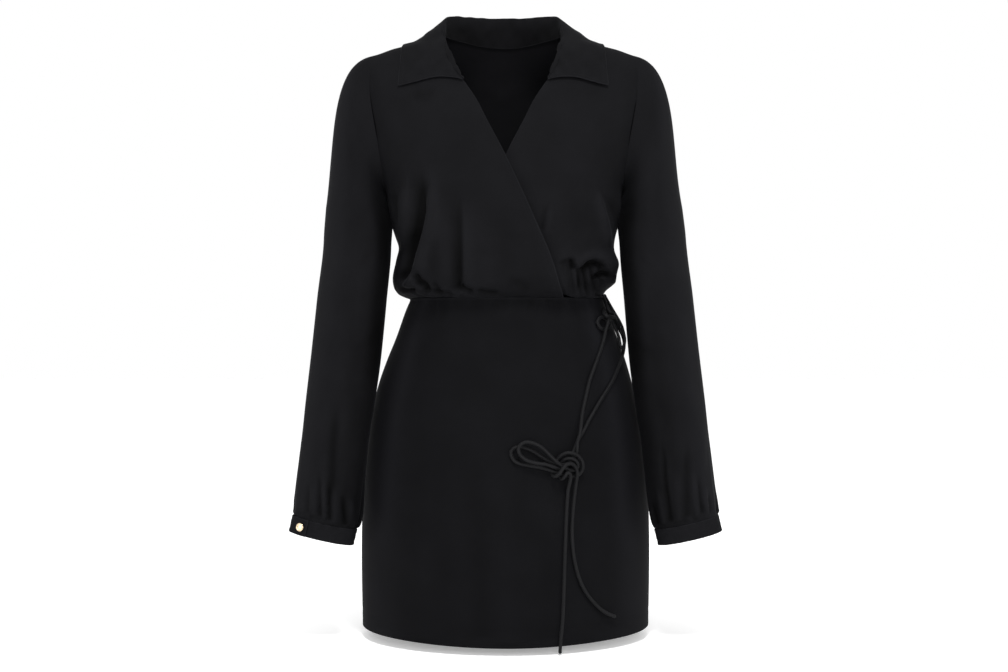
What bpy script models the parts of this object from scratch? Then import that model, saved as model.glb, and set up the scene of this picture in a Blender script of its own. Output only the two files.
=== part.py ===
"""A short wrap dress with a shirt collar, gathered sleeves and a rope tie at the left hip.

It keeps its worn, hollow form with no wearer: the wearer's shoulders hold it up.
Metres. +X is the wearer's left, -Y the front and +Z up. The origin lies midway between
the two neck points, where the shoulder seams meet the collar.
Every surface is written so that its u and v directions make a right hand with the
direction out of the cloth, and its wall is then laid on the inner side.
"""

import math
from collections import namedtuple

import bpy
from mathutils import Vector
from mathutils.bvhtree import BVHTree

# Cloth
CLOTH = 0.0014
CUFF_CLOTH = 0.0018
SEAM = 0.0006

# Heights, measured from the neck points
WAIST = -0.3586
HEM = -0.8030
UNDERARM = -0.2220

# Shoulders and neck
NECK_HALF = 0.075
SHOULDER_HALF = 0.181
SHOULDER_SLOPE = 0.238
NECK_RISE = 0.026
NECK_BACK_DROP = 0.004
ROUNDING = 0.100
BODY_SQUARENESS = 2.5
SKIRT_SQUARENESS = 1.98

# Armholes: how far they cut in from the widest line, as a share of the half width
ARMHOLE_FRONT_CUT = 0.088
ARMHOLE_BACK_CUT = 0.066

# Wrap: the under front is sunk below the over front, and comes back up beyond its edge
UNDER_SINK = 0.0042
UNDER_RAMP = 0.034

# Collar
COLLAR_BASE = 0.0030
COLLAR_LIFT = 0.0038
COLLAR_RIDGE_LIFT = 0.0012
COLLAR_SPRING = 0.0015
COLLAR_KINK = 0.0050

# Cuffs and buttons: the angles run from the outer side (0) to the front (90 degrees)
CUFF_HEIGHT = 0.0215
CUFF_TILT = math.radians(13.0)
CUFF_OVERLAP = math.radians(38.0)
CUFF_START_RIGHT = math.radians(27.0)
CUFF_START_LEFT = math.radians(-66.0)
CUFF_STEP = 0.0024
BUTTON_RADIUS = 0.0053
BUTTON_HEIGHT = 0.0030
BUTTON_PLACE = 0.47

# Tie
CORD = 0.0045
CORD_SPACING = 0.0110

Section = namedtuple("Section", "z width front back")
BODICE = (
    Section(-0.3586, 0.1320, 0.0880, 0.0860),
    Section(-0.3565, 0.1385, 0.0970, 0.0925),
    Section(-0.3510, 0.1455, 0.1080, 0.0990),
    Section(-0.3430, 0.1500, 0.1150, 0.1035),
    Section(-0.3300, 0.1520, 0.1210, 0.1055),
    Section(-0.3000, 0.1510, 0.1280, 0.1045),
    Section(-0.2720, 0.1490, 0.1310, 0.1040),
    Section(-0.2400, 0.1535, 0.1310, 0.1050),
    Section(-0.2220, 0.1570, 0.1290, 0.1060),
    Section(-0.1700, 0.1760, 0.1190, 0.1080),
    Section(-0.1200, 0.1900, 0.1010, 0.1050),
    Section(-0.0700, 0.1970, 0.0810, 0.0970),
    Section(-0.0100, 0.1980, 0.0620, 0.0860),
    Section(0.0400, 0.1980, 0.0500, 0.0760),
)
SKIRT = (
    Section(-0.3586, 0.1320, 0.0880, 0.0860),
    Section(-0.3750, 0.1395, 0.0935, 0.0950),
    Section(-0.4030, 0.1495, 0.1010, 0.1060),
    Section(-0.4430, 0.1640, 0.1100, 0.1190),
    Section(-0.4850, 0.1755, 0.1180, 0.1300),
    Section(-0.5400, 0.1865, 0.1270, 0.1390),
    Section(-0.6200, 0.1945, 0.1370, 0.1440),
    Section(-0.7000, 0.1960, 0.1430, 0.1450),
    Section(-0.8030, 0.1945, 0.1470, 0.1440),
)

# The over front's inner edge: neckline, then the slanting wrap edge down to the waist
Edge = namedtuple("Edge", "z x")
WRAP_EDGE = (
    Edge(-0.3586, 0.0762),
    Edge(-0.3471, 0.0720),
    Edge(-0.3146, 0.0616),
    Edge(-0.2561, 0.0366),
    Edge(-0.1753, -0.0004),
    Edge(-0.1292, -0.0237),
    Edge(-0.1015, -0.0372),
    Edge(-0.0706, -0.0571),
    Edge(-0.0600, -0.0640),
    Edge(-0.0450, -0.0702),
    Edge(-0.0200, -0.0746),
    Edge(0.0000, -0.0750),
)

# Folds of the bodice: from a top point to a low point, out (+) or in (-) by depth.
# They fade out near the side seams.
FOLD_FADE = 0.30
Fold = namedtuple("Fold", "x_top z_top x_low z_low width depth")
FRONT_FOLDS = (
    Fold(-0.104, -0.195, -0.124, -0.325, 0.013, -0.0075),
    Fold(-0.090, -0.215, -0.102, -0.335, 0.011, 0.0040),
    Fold(-0.060, -0.240, -0.060, -0.330, 0.014, -0.0030),
    Fold(0.074, -0.326, 0.146, -0.330, 0.008, -0.0090),
    Fold(0.070, -0.300, 0.150, -0.306, 0.012, 0.0035),
    Fold(0.126, -0.210, 0.140, -0.280, 0.010, 0.0025),
)
BACK_FOLDS = (
    Fold(-0.100, -0.230, -0.112, -0.330, 0.014, -0.0055),
    Fold(0.096, -0.235, 0.110, -0.335, 0.014, -0.0055),
    Fold(-0.045, -0.270, -0.048, -0.340, 0.015, -0.0040),
    Fold(0.040, -0.265, 0.046, -0.340, 0.015, -0.0040),
)

# Half of the collar, from centre back (0) to the front end (1): its fold and its outer edge
Station = namedtuple("Station", "at fold_x fold_y fold_z edge_x edge_y edge_z")
COLLAR = (
    Station(0.00, 0.0000, 0.0730, 0.0390, 0.0000, 0.1010, -0.0180),
    Station(0.22, 0.0400, 0.0640, 0.0378, 0.0640, 0.0950, -0.0220),
    Station(0.42, 0.0690, 0.0400, 0.0335, 0.1080, 0.0660, -0.0220),
    Station(0.56, 0.0785, 0.0120, 0.0262, 0.1370, 0.0160, -0.0130),
    Station(0.70, 0.0780, -0.0140, 0.0040, 0.1390, -0.0220, -0.0230),
    Station(0.85, 0.0700, -0.0450, -0.0295, 0.1400, -0.0480, -0.0500),
    Station(1.00, 0.0553, -0.0800, -0.0700, 0.1410, -0.0640, -0.0790),
)

# Sleeve tube of the wearer's right arm, mirrored for the left
Ring = namedtuple("Ring", "z x y half_x half_y turn tilt")
SLEEVE = (
    Ring(-0.6550, -0.2365, -0.0760, 0.0437, 0.0255, 0.00, 13.0),
    Ring(-0.6480, -0.2338, -0.0755, 0.0442, 0.0330, 0.02, 12.5),
    Ring(-0.6330, -0.2318, -0.0745, 0.0449, 0.0400, 0.04, 10.0),
    Ring(-0.6000, -0.2295, -0.0710, 0.0470, 0.0450, 0.08, 6.5),
    Ring(-0.5480, -0.2232, -0.0640, 0.0476, 0.0480, 0.10, 5.0),
    Ring(-0.4950, -0.2178, -0.0550, 0.0478, 0.0500, 0.12, 4.0),
    Ring(-0.4410, -0.2127, -0.0450, 0.0477, 0.0520, 0.14, 3.0),
    Ring(-0.3600, -0.2065, -0.0300, 0.0472, 0.0545, 0.16, 2.0),
    Ring(-0.2780, -0.2010, -0.0160, 0.0462, 0.0560, 0.18, 1.0),
    Ring(-0.2360, -0.2028, -0.0110, 0.0418, 0.0550, 0.18, 1.0),
)
GATHERS = 9
GATHER_DEPTH = 0.0022
GATHER_HEIGHT = 0.060

# Tie route: across, up, and out from the skirt's face to the cord's middle
Stop = namedtuple("Stop", "x z out")
TIE_FRONT_STRAND = (
    Stop(0.1290, -0.4030, 0.0066),
    Stop(0.1280, -0.4120, 0.0040),
    Stop(0.1236, -0.4280, 0.0030),
    Stop(0.1146, -0.4510, 0.0028),
    Stop(0.1077, -0.4705, 0.0028),
    Stop(0.0987, -0.5090, 0.0028),
    Stop(0.0936, -0.5355, 0.0034),
    Stop(0.0884, -0.5572, 0.0062),
)
TIE_SIDE_STRAND = (
    Stop(0.1332, -0.3790, 0.0122),
    Stop(0.1385, -0.3835, 0.0125),
    Stop(0.1435, -0.3925, 0.0122),
    Stop(0.1476, -0.4040, 0.0110),
    Stop(0.1503, -0.4160, 0.0105),
    Stop(0.1521, -0.4280, 0.0080),
    Stop(0.1514, -0.4415, 0.0045),
    Stop(0.1400, -0.4670, 0.0028),
    Stop(0.1220, -0.4940, 0.0028),
    Stop(0.1072, -0.5180, 0.0028),
    Stop(0.0993, -0.5330, 0.0034),
    Stop(0.0932, -0.5560, 0.0060),
)
TIE_FRONT_LOOP = (
    Stop(0.0605, -0.5685, 0.0128),
    Stop(0.0504, -0.5568, 0.0115),
    Stop(0.0359, -0.5462, 0.0105),
    Stop(0.0262, -0.5440, 0.0100),
    Stop(0.0156, -0.5490, 0.0092),
    Stop(0.0171, -0.5590, 0.0092),
    Stop(0.0277, -0.5676, 0.0100),
    Stop(0.0487, -0.5710, 0.0115),
    Stop(0.0605, -0.5760, 0.0128),
)
TIE_BACK_LOOP = (
    Stop(0.0605, -0.5725, 0.0050),
    Stop(0.0520, -0.5675, 0.0040),
    Stop(0.0353, -0.5563, 0.0032),
    Stop(0.0210, -0.5514, 0.0030),
    Stop(0.0103, -0.5504, 0.0028),
    Stop(0.0071, -0.5583, 0.0028),
    Stop(0.0118, -0.5681, 0.0028),
    Stop(0.0286, -0.5752, 0.0030),
    Stop(0.0503, -0.5789, 0.0036),
    Stop(0.0610, -0.5825, 0.0052),
)
TIE_LONG_TAIL = (
    Stop(0.0817, -0.5975, 0.0060),
    Stop(0.0799, -0.6086, 0.0036),
    Stop(0.0775, -0.6327, 0.0028),
    Stop(0.0749, -0.6970, 0.0028),
    Stop(0.0725, -0.7626, 0.0028),
    Stop(0.0696, -0.7952, 0.0028),
    Stop(0.0686, -0.8130, 0.0028),
)
TIE_CURVED_TAIL = (
    Stop(0.0884, -0.5973, 0.0060),
    Stop(0.0878, -0.6090, 0.0036),
    Stop(0.0856, -0.6330, 0.0028),
    Stop(0.0842, -0.6658, 0.0028),
    Stop(0.0876, -0.6976, 0.0028),
    Stop(0.0956, -0.7248, 0.0028),
    Stop(0.1072, -0.7448, 0.0028),
    Stop(0.1243, -0.7632, 0.0028),
    Stop(0.1414, -0.7732, 0.0028),
)
Knot = namedtuple("Knot", "x_top z_top x_low z_low out half_across half_out")
WAIST_KNOT = Knot(0.1262, -0.3625, 0.1290, -0.3985, 0.0088, 0.0088, 0.0070)
BOW_KNOT = Knot(0.0821, -0.5589, 0.0745, -0.5940, 0.0100, 0.0158, 0.0085)

# How finely the faceted cloth is cut
COLUMNS = 14
LOW_ROWS = 7
HIGH_ROWS = 9
SKIRT_COLUMNS = 18
SKIRT_ROWS = 9
SLEEVE_COLUMNS = 2 * HIGH_ROWS
CAP_ROWS = 6
CUFF_COLUMNS = 26
COLLAR_COLUMNS = 30

BLACK_CREPE = (0.012, 0.012, 0.014, 1.0)
BLACK_SKIRT = (0.009, 0.009, 0.011, 1.0)
BLACK_CORD = (0.015, 0.015, 0.016, 1.0)
GOLD = (0.62, 0.47, 0.27, 1.0)
TINY = 1e-4


# ---------------------------------------------------------------- general helpers

def clamp(value, low=0.0, high=1.0):
    return max(low, min(high, value))


def smoothstep(value):
    value = clamp(value)
    return value * value * (3.0 - 2.0 * value)


def mix(first, second, share):
    return first + (second - first) * share


def slopes(knots, values):
    """A slope at each knot for a smooth curve that never overshoots its values."""
    steps = [(values[i + 1] - values[i]) / (knots[i + 1] - knots[i]) for i in range(len(knots) - 1)]
    result = [steps[0]]
    for before, after in zip(steps, steps[1:]):
        result.append(0.0 if before * after <= 0.0 else 2.0 * before * after / (before + after))
    result.append(steps[-1])
    return result


def read_table(rows, key, position):
    """The row at a position along a table, on smooth curves through its rows."""
    ordered = sorted(rows, key=lambda row: getattr(row, key))
    knots = [getattr(row, key) for row in ordered]
    position = clamp(position, knots[0], knots[-1])
    low = max(i for i in range(len(knots) - 1) if knots[i] <= position)
    span = knots[low + 1] - knots[low]
    t = (position - knots[low]) / span
    values = []
    for name in ordered[0]._fields:
        column = [getattr(row, name) for row in ordered]
        first, last = slopes(knots, column)[low:low + 2]
        values.append(
            (2 * t**3 - 3 * t**2 + 1) * column[low]
            + (t**3 - 2 * t**2 + t) * span * first
            + (3 * t**2 - 2 * t**3) * column[low + 1]
            + (t**3 - t**2) * span * last
        )
    return type(ordered[0])(*values)


def through(points, share):
    """A point on the smooth curve through a route's points."""
    place = clamp(share) * (len(points) - 1)
    i = min(int(place), len(points) - 2)
    t = place - i
    before = points[i - 1] if i > 0 else 2 * points[0] - points[1]
    after = points[i + 2] if i + 2 < len(points) else 2 * points[-1] - points[-2]
    return 0.5 * (
        2 * points[i]
        + (points[i + 1] - before) * t
        + (2 * before - 5 * points[i] + 4 * points[i + 1] - after) * t * t
        + (3 * points[i] - before - 3 * points[i + 1] + after) * t**3
    )


def mirrored(surface):
    """The same surface on the other side of the body."""
    def other_side(u, v):
        point = surface(1.0 - u, v)
        return Vector((-point.x, point.y, point.z))
    return other_side


def even(count):
    return [i / count for i in range(count + 1)]


# ---------------------------------------------------------------- form of the body

def ridge_height(x):
    """Height of the shoulder line, which goes on up the neck inside the neck points."""
    x = abs(x)
    if x >= NECK_HALF:
        return -SHOULDER_SLOPE * (x - NECK_HALF)
    crown = 0.5 * SHOULDER_SLOPE * NECK_HALF * (1.0 - (x / NECK_HALF) ** 2)
    return crown + NECK_RISE * 0.5 * (1.0 + math.cos(math.pi * x / NECK_HALF))


def radius_of(section, angle, squareness):
    """Radius of a rounded section. Angle 0 is centre front and 180 degrees centre back."""
    depth = section.front if math.cos(angle) > 0.0 else section.back
    across = abs(math.sin(angle)) / section.width
    along = abs(math.cos(angle)) / depth
    return (across**squareness + along**squareness) ** (-1.0 / squareness)


def fold_height(folds, x, z):
    """How far the folds push the cloth out at a place on the front or the back."""
    height = 0.0
    for fold in folds:
        start = Vector((fold.x_top, fold.z_top))
        run = Vector((fold.x_low, fold.z_low)) - start
        place = Vector((x, z)) - start
        share = place.dot(run) / run.length_squared
        nearest = start + run * clamp(share)
        distance = (Vector((x, z)) - nearest).length
        fade = smoothstep(1.3 * clamp(share) + 0.15) * smoothstep(5.0 * (1.02 - clamp(share)))
        height += fold.depth * fade * math.exp(-((distance / fold.width) ** 2))
    return height


def bodice_point(angle, climb, out=0.0):
    """A point of the bodice. Climb is 0 at the waist and 1 on the shoulder line."""
    x = 0.1 * math.sin(angle)
    for _ in range(5):
        ridge = ridge_height(x)
        z = mix(WAIST, ridge, climb)
        section = read_table(BODICE, "z", z)
        radius = radius_of(section, angle, BODY_SQUARENESS)
        x = radius * math.sin(angle)
    below = clamp((ridge - z) / ROUNDING)
    rounding = math.sqrt(max(0.0, 1.0 - (1.0 - below) ** 2))
    folds = FRONT_FOLDS if math.cos(angle) > 0.0 else BACK_FOLDS
    from_side = smoothstep(abs(math.cos(angle)) / FOLD_FADE)
    radius += out + from_side * fold_height(folds, x, z)
    return Vector((radius * math.sin(angle), -radius * math.cos(angle) * rounding, z))


def bodice_angle(x, z, back=False):
    """Angle round the bodice of a place across it, at one height."""
    section = read_table(BODICE, "z", z)
    depth = section.back if back else section.front
    share = clamp(abs(x) / section.width, 0.0, 1.0)
    y = depth * (1.0 - share**BODY_SQUARENESS) ** (1.0 / BODY_SQUARENESS)
    return math.copysign(math.atan2(abs(x), -y if back else y), x)


def climb_of(x, z):
    return (z - WAIST) / (ridge_height(x) - WAIST)


UNDERARM_CLIMB = climb_of(read_table(BODICE, "z", UNDERARM).width, UNDERARM)


def armhole_angle(climb, back=False):
    """Angle of the side seam, and above the underarm of the armhole, on the wearer's left."""
    if climb <= UNDERARM_CLIMB:
        return math.pi / 2
    up = (climb - UNDERARM_CLIMB) / (1.0 - UNDERARM_CLIMB)
    cut = ARMHOLE_BACK_CUT if back else ARMHOLE_FRONT_CUT
    rounding = 1.0 - (1.0 - min(up / 0.5, 1.0)) ** 2
    share = 1.0 - cut * rounding**1.25
    top_share = SHOULDER_HALF / read_table(BODICE, "z", ridge_height(SHOULDER_HALF)).width
    share = mix(share, top_share, smoothstep((up - 0.5) / 0.5))
    z = mix(WAIST, ridge_height(SHOULDER_HALF), climb)
    width = read_table(BODICE, "z", z).width
    return bodice_angle(share * width, z, back)


def wrap_edge_angle(climb):
    """Angle of the over front's inner edge, which starts on the wearer's left at the waist."""
    x = 0.0
    for _ in range(6):
        z = mix(WAIST, ridge_height(x), climb)
        x = read_table(WRAP_EDGE, "z", z).x
    return bodice_angle(x, z)


def over_front(u, v):
    """The wearer's right front, from its side to the wrap edge."""
    angle = mix(-armhole_angle(v), wrap_edge_angle(v), u)
    return bodice_point(angle, v)


def under_form(u, v):
    return bodice_point(mix(-wrap_edge_angle(v), armhole_angle(v), u), v)


def under_front(u, v):
    """The wearer's left front, from its hidden edge to its side, sunk below the over front."""
    point = under_form(u, v)
    past_edge = point.x - read_table(WRAP_EDGE, "z", point.z).x
    sink = UNDER_SINK * smoothstep(1.0 - past_edge / UNDER_RAMP)
    return point - normal_at(under_form, u, v) * sink


def back_neck_height(x):
    return -NECK_BACK_DROP * 0.5 * (1.0 + math.cos(math.pi * min(abs(x) / NECK_HALF, 1.0)))


def back_panel(u, v):
    """The back, from the wearer's left to the right: u is 0.5 at centre back."""
    across = 1.0 - 2.0 * u
    climb = v
    for _ in range(3):
        half = math.pi - armhole_angle(climb, back=True)
        angle = math.pi - across * half
        x = bodice_point(angle, climb).x
        top = 1.0
        if abs(x) < NECK_HALF:
            top = climb_of(x, back_neck_height(x))
        climb = v * top
    return bodice_point(angle, climb)


def back_columns():
    """Shares across the back, with a column on each neck point."""
    neck = math.pi - bodice_angle(NECK_HALF, 0.0, back=True)
    shoulder = math.pi - armhole_angle(1.0, back=True)
    edge = 0.5 * (1.0 - neck / shoulder)
    outer = [edge * share for share in even(4)]
    middle = [mix(edge, 1.0 - edge, share) for share in even(10)][1:-1]
    return outer + middle + [1.0 - share for share in reversed(outer)]


def bodice_rows():
    """Heights up the bodice, close together at the waist, underarm and shoulder."""
    low = [UNDERARM_CLIMB * (1.0 - math.cos(0.5 * math.pi * share)) for share in even(LOW_ROWS)]
    high = [
        mix(UNDERARM_CLIMB, 1.0, 0.5 - 0.5 * math.cos(math.pi * share))
        for share in even(HIGH_ROWS)
    ]
    return low + high[1:]


def skirt_point(angle, z, out=0.0):
    section = read_table(SKIRT, "z", z)
    radius = radius_of(section, angle, SKIRT_SQUARENESS) + out
    return Vector((radius * math.sin(angle), -radius * math.cos(angle), z))


def skirt_panel(start):
    """A half of the skirt, from one side seam round to the other."""
    def surface(u, v):
        return skirt_point(start + math.pi * u, mix(HEM, WAIST, v))
    return surface


def on_skirt(x, z, out):
    """A point in front of the skirt, out from its face by the distance given."""
    z_on_skirt = max(z, HEM)
    section = read_table(SKIRT, "z", z_on_skirt)
    share = clamp(abs(x) / section.width, 0.0, 0.999)
    y = -section.front * (1.0 - share**SKIRT_SQUARENESS) ** (1.0 / SKIRT_SQUARENESS)
    point = Vector((x, y, z))
    away = Vector((
        math.copysign(share ** (SKIRT_SQUARENESS - 1.0) / section.width, x),
        -(abs(y) / section.front) ** (SKIRT_SQUARENESS - 1.0) / section.front,
        0.0,
    ))
    return point + away.normalized() * out


# ---------------------------------------------------------------- sleeves, cuffs, collar

def sleeve_ring_point(ring, angle):
    """A point of the right sleeve's tube. Angle 0 is its outer side, 90 degrees the front."""
    up = (ring.z - SLEEVE[0].z) / GATHER_HEIGHT
    ripple = GATHER_DEPTH * smoothstep(3.0 * up) * smoothstep(1.0 - up) * math.cos(GATHERS * angle)
    x = -(ring.half_x + ripple) * math.cos(angle)
    y = -(ring.half_y + ripple) * math.sin(angle)
    turned_x = x - ring.turn * y
    return Vector((ring.x + turned_x, ring.y + y, ring.z + turned_x * -math.tan(math.radians(ring.tilt))))


def armhole_point(angle):
    """A point of the right armhole, with the sleeve's own angles."""
    climb = mix(UNDERARM_CLIMB, 1.0, 0.5 + 0.5 * math.cos(angle))
    back = math.sin(angle) < 0.0
    round_body = armhole_angle(climb, back)
    return bodice_point(-round_body, climb)


def sleeve_right(u, v):
    """The right sleeve: v is 0 at the cuff and 1 at the armhole."""
    angle = 2.0 * math.pi * u
    if v <= 0.7:
        z = mix(SLEEVE[0].z, SLEEVE[-1].z, v / 0.7)
        return sleeve_ring_point(read_table(SLEEVE, "z", z), angle)
    share = (v - 0.7) / 0.3
    low = sleeve_ring_point(SLEEVE[-1], angle)
    high = armhole_point(angle)
    reach = (high - low).length
    leave = Vector((0.026 + 0.22 * max(0.0, math.cos(angle)), 0.0, 1.15)) * reach
    arrive = Vector((0.80, 0.0, 0.80 * SHOULDER_SLOPE)) * reach
    return (
        low * (2 * share**3 - 3 * share**2 + 1)
        + leave * (share**3 - 2 * share**2 + share)
        + high * (3 * share**2 - 2 * share**3)
        + arrive * (share**3 - share**2)
    )


def sleeve_rows():
    tube = [0.7 * share for share in (0.0, 0.03, 0.07, 0.13, 0.22, 0.36, 0.52, 0.68, 0.84, 1.0)]
    cap = [0.7 + 0.3 * share for share in even(CAP_ROWS)]
    return tube + cap[1:]


def cuff(start):
    """A cuff on the right side: a strip wound once round, its end lapped over its start."""
    sweep = 2.0 * math.pi + CUFF_OVERLAP

    def surface(u, v):
        angle = start + sweep * u
        lapped = smoothstep((u * sweep - 2.0 * math.pi + 0.5) / 0.5)
        grow = CUFF_STEP * lapped
        ring = SLEEVE[0]
        across = -(ring.half_x + grow) * math.cos(angle)
        deep = -(ring.half_y + grow) * math.sin(angle)
        down = CUFF_HEIGHT * (1.0 - v) + SEAM
        return Vector((
            ring.x + across * math.cos(CUFF_TILT) - down * math.sin(CUFF_TILT),
            ring.y + deep,
            ring.z - across * math.sin(CUFF_TILT) - down * math.cos(CUFF_TILT),
        ))
    return surface


def collar_half(at, across):
    """The collar on the wearer's left: across is 0 at the neck seam and 1 at the outer edge."""
    station = read_table(COLLAR, "at", at)
    fold = Vector((station.fold_x, station.fold_y, station.fold_z))
    edge = Vector((station.edge_x, station.edge_y, station.edge_z))
    seam = neck_seam_point(at)
    fall = (edge - fold).normalized()
    rise = fold - seam
    spring = COLLAR_SPRING * smoothstep(rise.length / 0.02)
    inner = seam + rise * 0.6
    shoulder = fold + fall * 0.010 + Vector((0.0, 0.0, spring))
    middle = mix(fold, edge, 0.55) + Vector((0.0, 0.0, spring))
    point = through([seam, inner, fold, shoulder, middle, edge], across)
    bend = math.exp(-(((across - 0.73) / 0.14) ** 2))
    point.z += COLLAR_KINK * smoothstep((at - 0.8) / 0.2) * bend
    return point


def neck_seam_point(at):
    """The neck seam on the wearer's left, from centre back (0) to the front end (1)."""
    gap = Vector((0.0, 0.0, SEAM))
    if at < 0.5:
        x = NECK_HALF * math.sin(math.pi * at)
        z = back_neck_height(x)
        return bodice_point(bodice_angle(x, z, back=True), climb_of(x, z)) + gap
    z = -0.0700 * ((at - 0.5) / 0.5) ** 1.5
    x = -read_table(WRAP_EDGE, "z", z).x
    return bodice_point(bodice_angle(x, z), climb_of(x, z)) + gap


# ---------------------------------------------------------------- making meshes

def new_object(name, vertices, faces, material):
    mesh = bpy.data.meshes.new(name)
    mesh.from_pydata([tuple(point) for point in vertices], [], faces)
    mesh.validate()
    mesh.materials.append(material)
    mesh.shade_smooth()
    mesh.set_sharp_from_angle(angle=math.radians(40.0))
    made = bpy.data.objects.new(name, mesh)
    bpy.context.collection.objects.link(made)
    return made


def normal_at(surface, u, v):
    """Direction out of the cloth, from two short steps on the surface."""
    low_u, high_u = max(u - TINY, 0.0), min(u + TINY, 1.0)
    low_v, high_v = max(v - TINY, 0.0), min(v + TINY, 1.0)
    along_u = surface(high_u, v) - surface(low_u, v)
    along_v = surface(u, high_v) - surface(u, low_v)
    return along_u.cross(along_v).normalized()


def wall(name, surface, us, vs, thickness, material, closed=False):
    """One closed solid: the cloth's outer face, its inner face and the rims between them."""
    columns = us[:-1] if closed else us
    outer = [[surface(u, v) for u in columns] for v in vs]
    normals = [[normal_at(surface, u, v) for u in columns] for v in vs]
    trim(outer, closed)
    count = len(columns)
    rows = len(vs)
    vertices = [point for row in outer for point in row]
    vertices += [
        point - normal * thickness
        for row, normal_row in zip(outer, normals)
        for point, normal in zip(row, normal_row)
    ]

    def index(row, column, side=0):
        return side * rows * count + row * count + column % count

    faces = []
    for row in range(rows - 1):
        for column in range(count if closed else count - 1):
            a, b = index(row, column), index(row, column + 1)
            c, d = index(row + 1, column + 1), index(row + 1, column)
            faces += [(a, b, c), (a, c, d)]
            shift = rows * count
            faces += [(c + shift, b + shift, a + shift), (d + shift, c + shift, a + shift)]
    for column in range(count if closed else count - 1):
        low = index(0, column), index(0, column + 1)
        high = index(rows - 1, column), index(rows - 1, column + 1)
        faces.append((low[1], low[0], index(0, column, 1), index(0, column + 1, 1)))
        faces.append((high[0], high[1], index(rows - 1, column + 1, 1), index(rows - 1, column, 1)))
    if not closed:
        for row in range(rows - 1):
            faces.append((index(row, 0), index(row + 1, 0), index(row + 1, 0, 1), index(row, 0, 1)))
            last = count - 1
            faces.append((
                index(row + 1, last),
                index(row, last),
                index(row, last, 1),
                index(row + 1, last, 1),
            ))
    return new_object(name, vertices, faces, material)


def trim(grid, closed):
    """Draw the borders in along the cloth, to leave half a seam's gap."""
    half = 0.5 * SEAM
    if not closed:
        for row in grid:
            row[0], row[-1] = toward(row[0], row[1], half), toward(row[-1], row[-2], half)
    grid[0][:] = [toward(point, inner, half) for point, inner in zip(grid[0], grid[1])]
    grid[-1][:] = [toward(point, inner, half) for point, inner in zip(grid[-1], grid[-2])]


def toward(point, target, distance):
    return point + (target - point).normalized() * distance


def material(name, colour, roughness, metallic=0.0):
    made = bpy.data.materials.new(name)
    made.use_nodes = True
    shader = made.node_tree.nodes["Principled BSDF"]
    shader.inputs["Base Color"].default_value = colour
    shader.inputs["Roughness"].default_value = roughness
    shader.inputs["Metallic"].default_value = metallic
    made.diffuse_color = colour
    return made


def cloth_tree(surfaces, count=24):
    """The bodice's outer faces, to lay the collar on."""
    vertices = []
    faces = []
    for surface in surfaces:
        start = len(vertices)
        vertices += [surface(u, v) for v in even(count) for u in even(count)]
        for row in range(count):
            for column in range(count):
                a = start + row * (count + 1) + column
                faces.append((a, a + 1, a + count + 2, a + count + 1))
    return BVHTree.FromPolygons(vertices, faces)


def laid_on(tree, point, clearance):
    """The point, moved out where it is nearer to the cloth below than the clearance."""
    hit, normal, _, _ = tree.find_nearest(point)
    height = (point - hit).dot(normal)
    return point if height >= clearance else point + normal * (clearance - height)


def collar_surface(tree):
    """The whole collar: u runs from the wearer's right front end round to the left."""
    def surface(u, v):
        side = 2.0 * u - 1.0
        point = collar_half(abs(side), v)
        if side < 0.0:
            point.x = -point.x
        base = COLLAR_BASE * smoothstep((abs(side) - 0.42) / 0.08)
        lift = COLLAR_LIFT + COLLAR_RIDGE_LIFT * math.exp(-((point.y / 0.025) ** 2))
        return laid_on(tree, point, mix(base, lift, smoothstep((v - 0.4) / 0.1)))
    return surface


def lathe_button(name, centre, out, finish):
    """A small domed button, turned about the line out of the cuff."""
    profile = (
        (0.0, BUTTON_HEIGHT),
        (0.45, BUTTON_HEIGHT * 0.96),
        (0.78, BUTTON_HEIGHT * 0.80),
        (0.97, BUTTON_HEIGHT * 0.50),
        (1.0, BUTTON_HEIGHT * 0.22),
        (0.90, 0.0),
        (0.0, 0.0),
    )
    across = out.cross(Vector((0.0, 0.0, 1.0))).normalized()
    up = out.cross(across).normalized()
    sides = 20
    vertices = [centre + out * profile[0][1]]
    for share, height in profile[1:-1]:
        for step in range(sides):
            turn = 2.0 * math.pi * step / sides
            rim = (across * math.cos(turn) + up * math.sin(turn)) * share * BUTTON_RADIUS
            vertices.append(centre + out * height + rim)
    vertices.append(centre.copy())
    faces = []
    rings = len(profile) - 2
    for step in range(sides):
        after = (step + 1) % sides
        faces.append((0, 1 + step, 1 + after))
        for ring in range(rings - 1):
            a, b = 1 + ring * sides + step, 1 + ring * sides + after
            faces.append((a, a + sides, b + sides, b))
        base = 1 + (rings - 1) * sides
        faces.append((base + after, base + step, len(vertices) - 1))
    made = new_object(name, vertices, faces, finish)
    return made


def cuff_button(name, surface, side, finish):
    """A button on the lapped end of a cuff."""
    u = 1.0 - BUTTON_PLACE * CUFF_OVERLAP / (2.0 * math.pi + CUFF_OVERLAP)
    if side > 0:
        u = 1.0 - u
    out = normal_at(surface, u, 0.5)
    return lathe_button(name, surface(u, 0.5) + out * SEAM, out, finish)


def cord(name, stops, finish, diameter=CORD):
    """A round cord on a smooth curve through its stops."""
    route = [on_skirt(stop.x, stop.z, stop.out) for stop in stops]
    rough = [through(route, share) for share in even(200)]
    length = sum((b - a).length for a, b in zip(rough, rough[1:]))
    steps = max(3, round(length / CORD_SPACING))
    curve = bpy.data.curves.new(name, "CURVE")
    curve.dimensions = "3D"
    curve.bevel_depth = diameter / 2.0
    curve.bevel_resolution = 2
    curve.use_fill_caps = True
    spline = curve.splines.new("POLY")
    spline.points.add(steps)
    for point, share in zip(spline.points, even(steps)):
        point.co = (*through(route, share), 1.0)
    curve.materials.append(finish)
    made = bpy.data.objects.new(name, curve)
    bpy.context.collection.objects.link(made)
    return made


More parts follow.
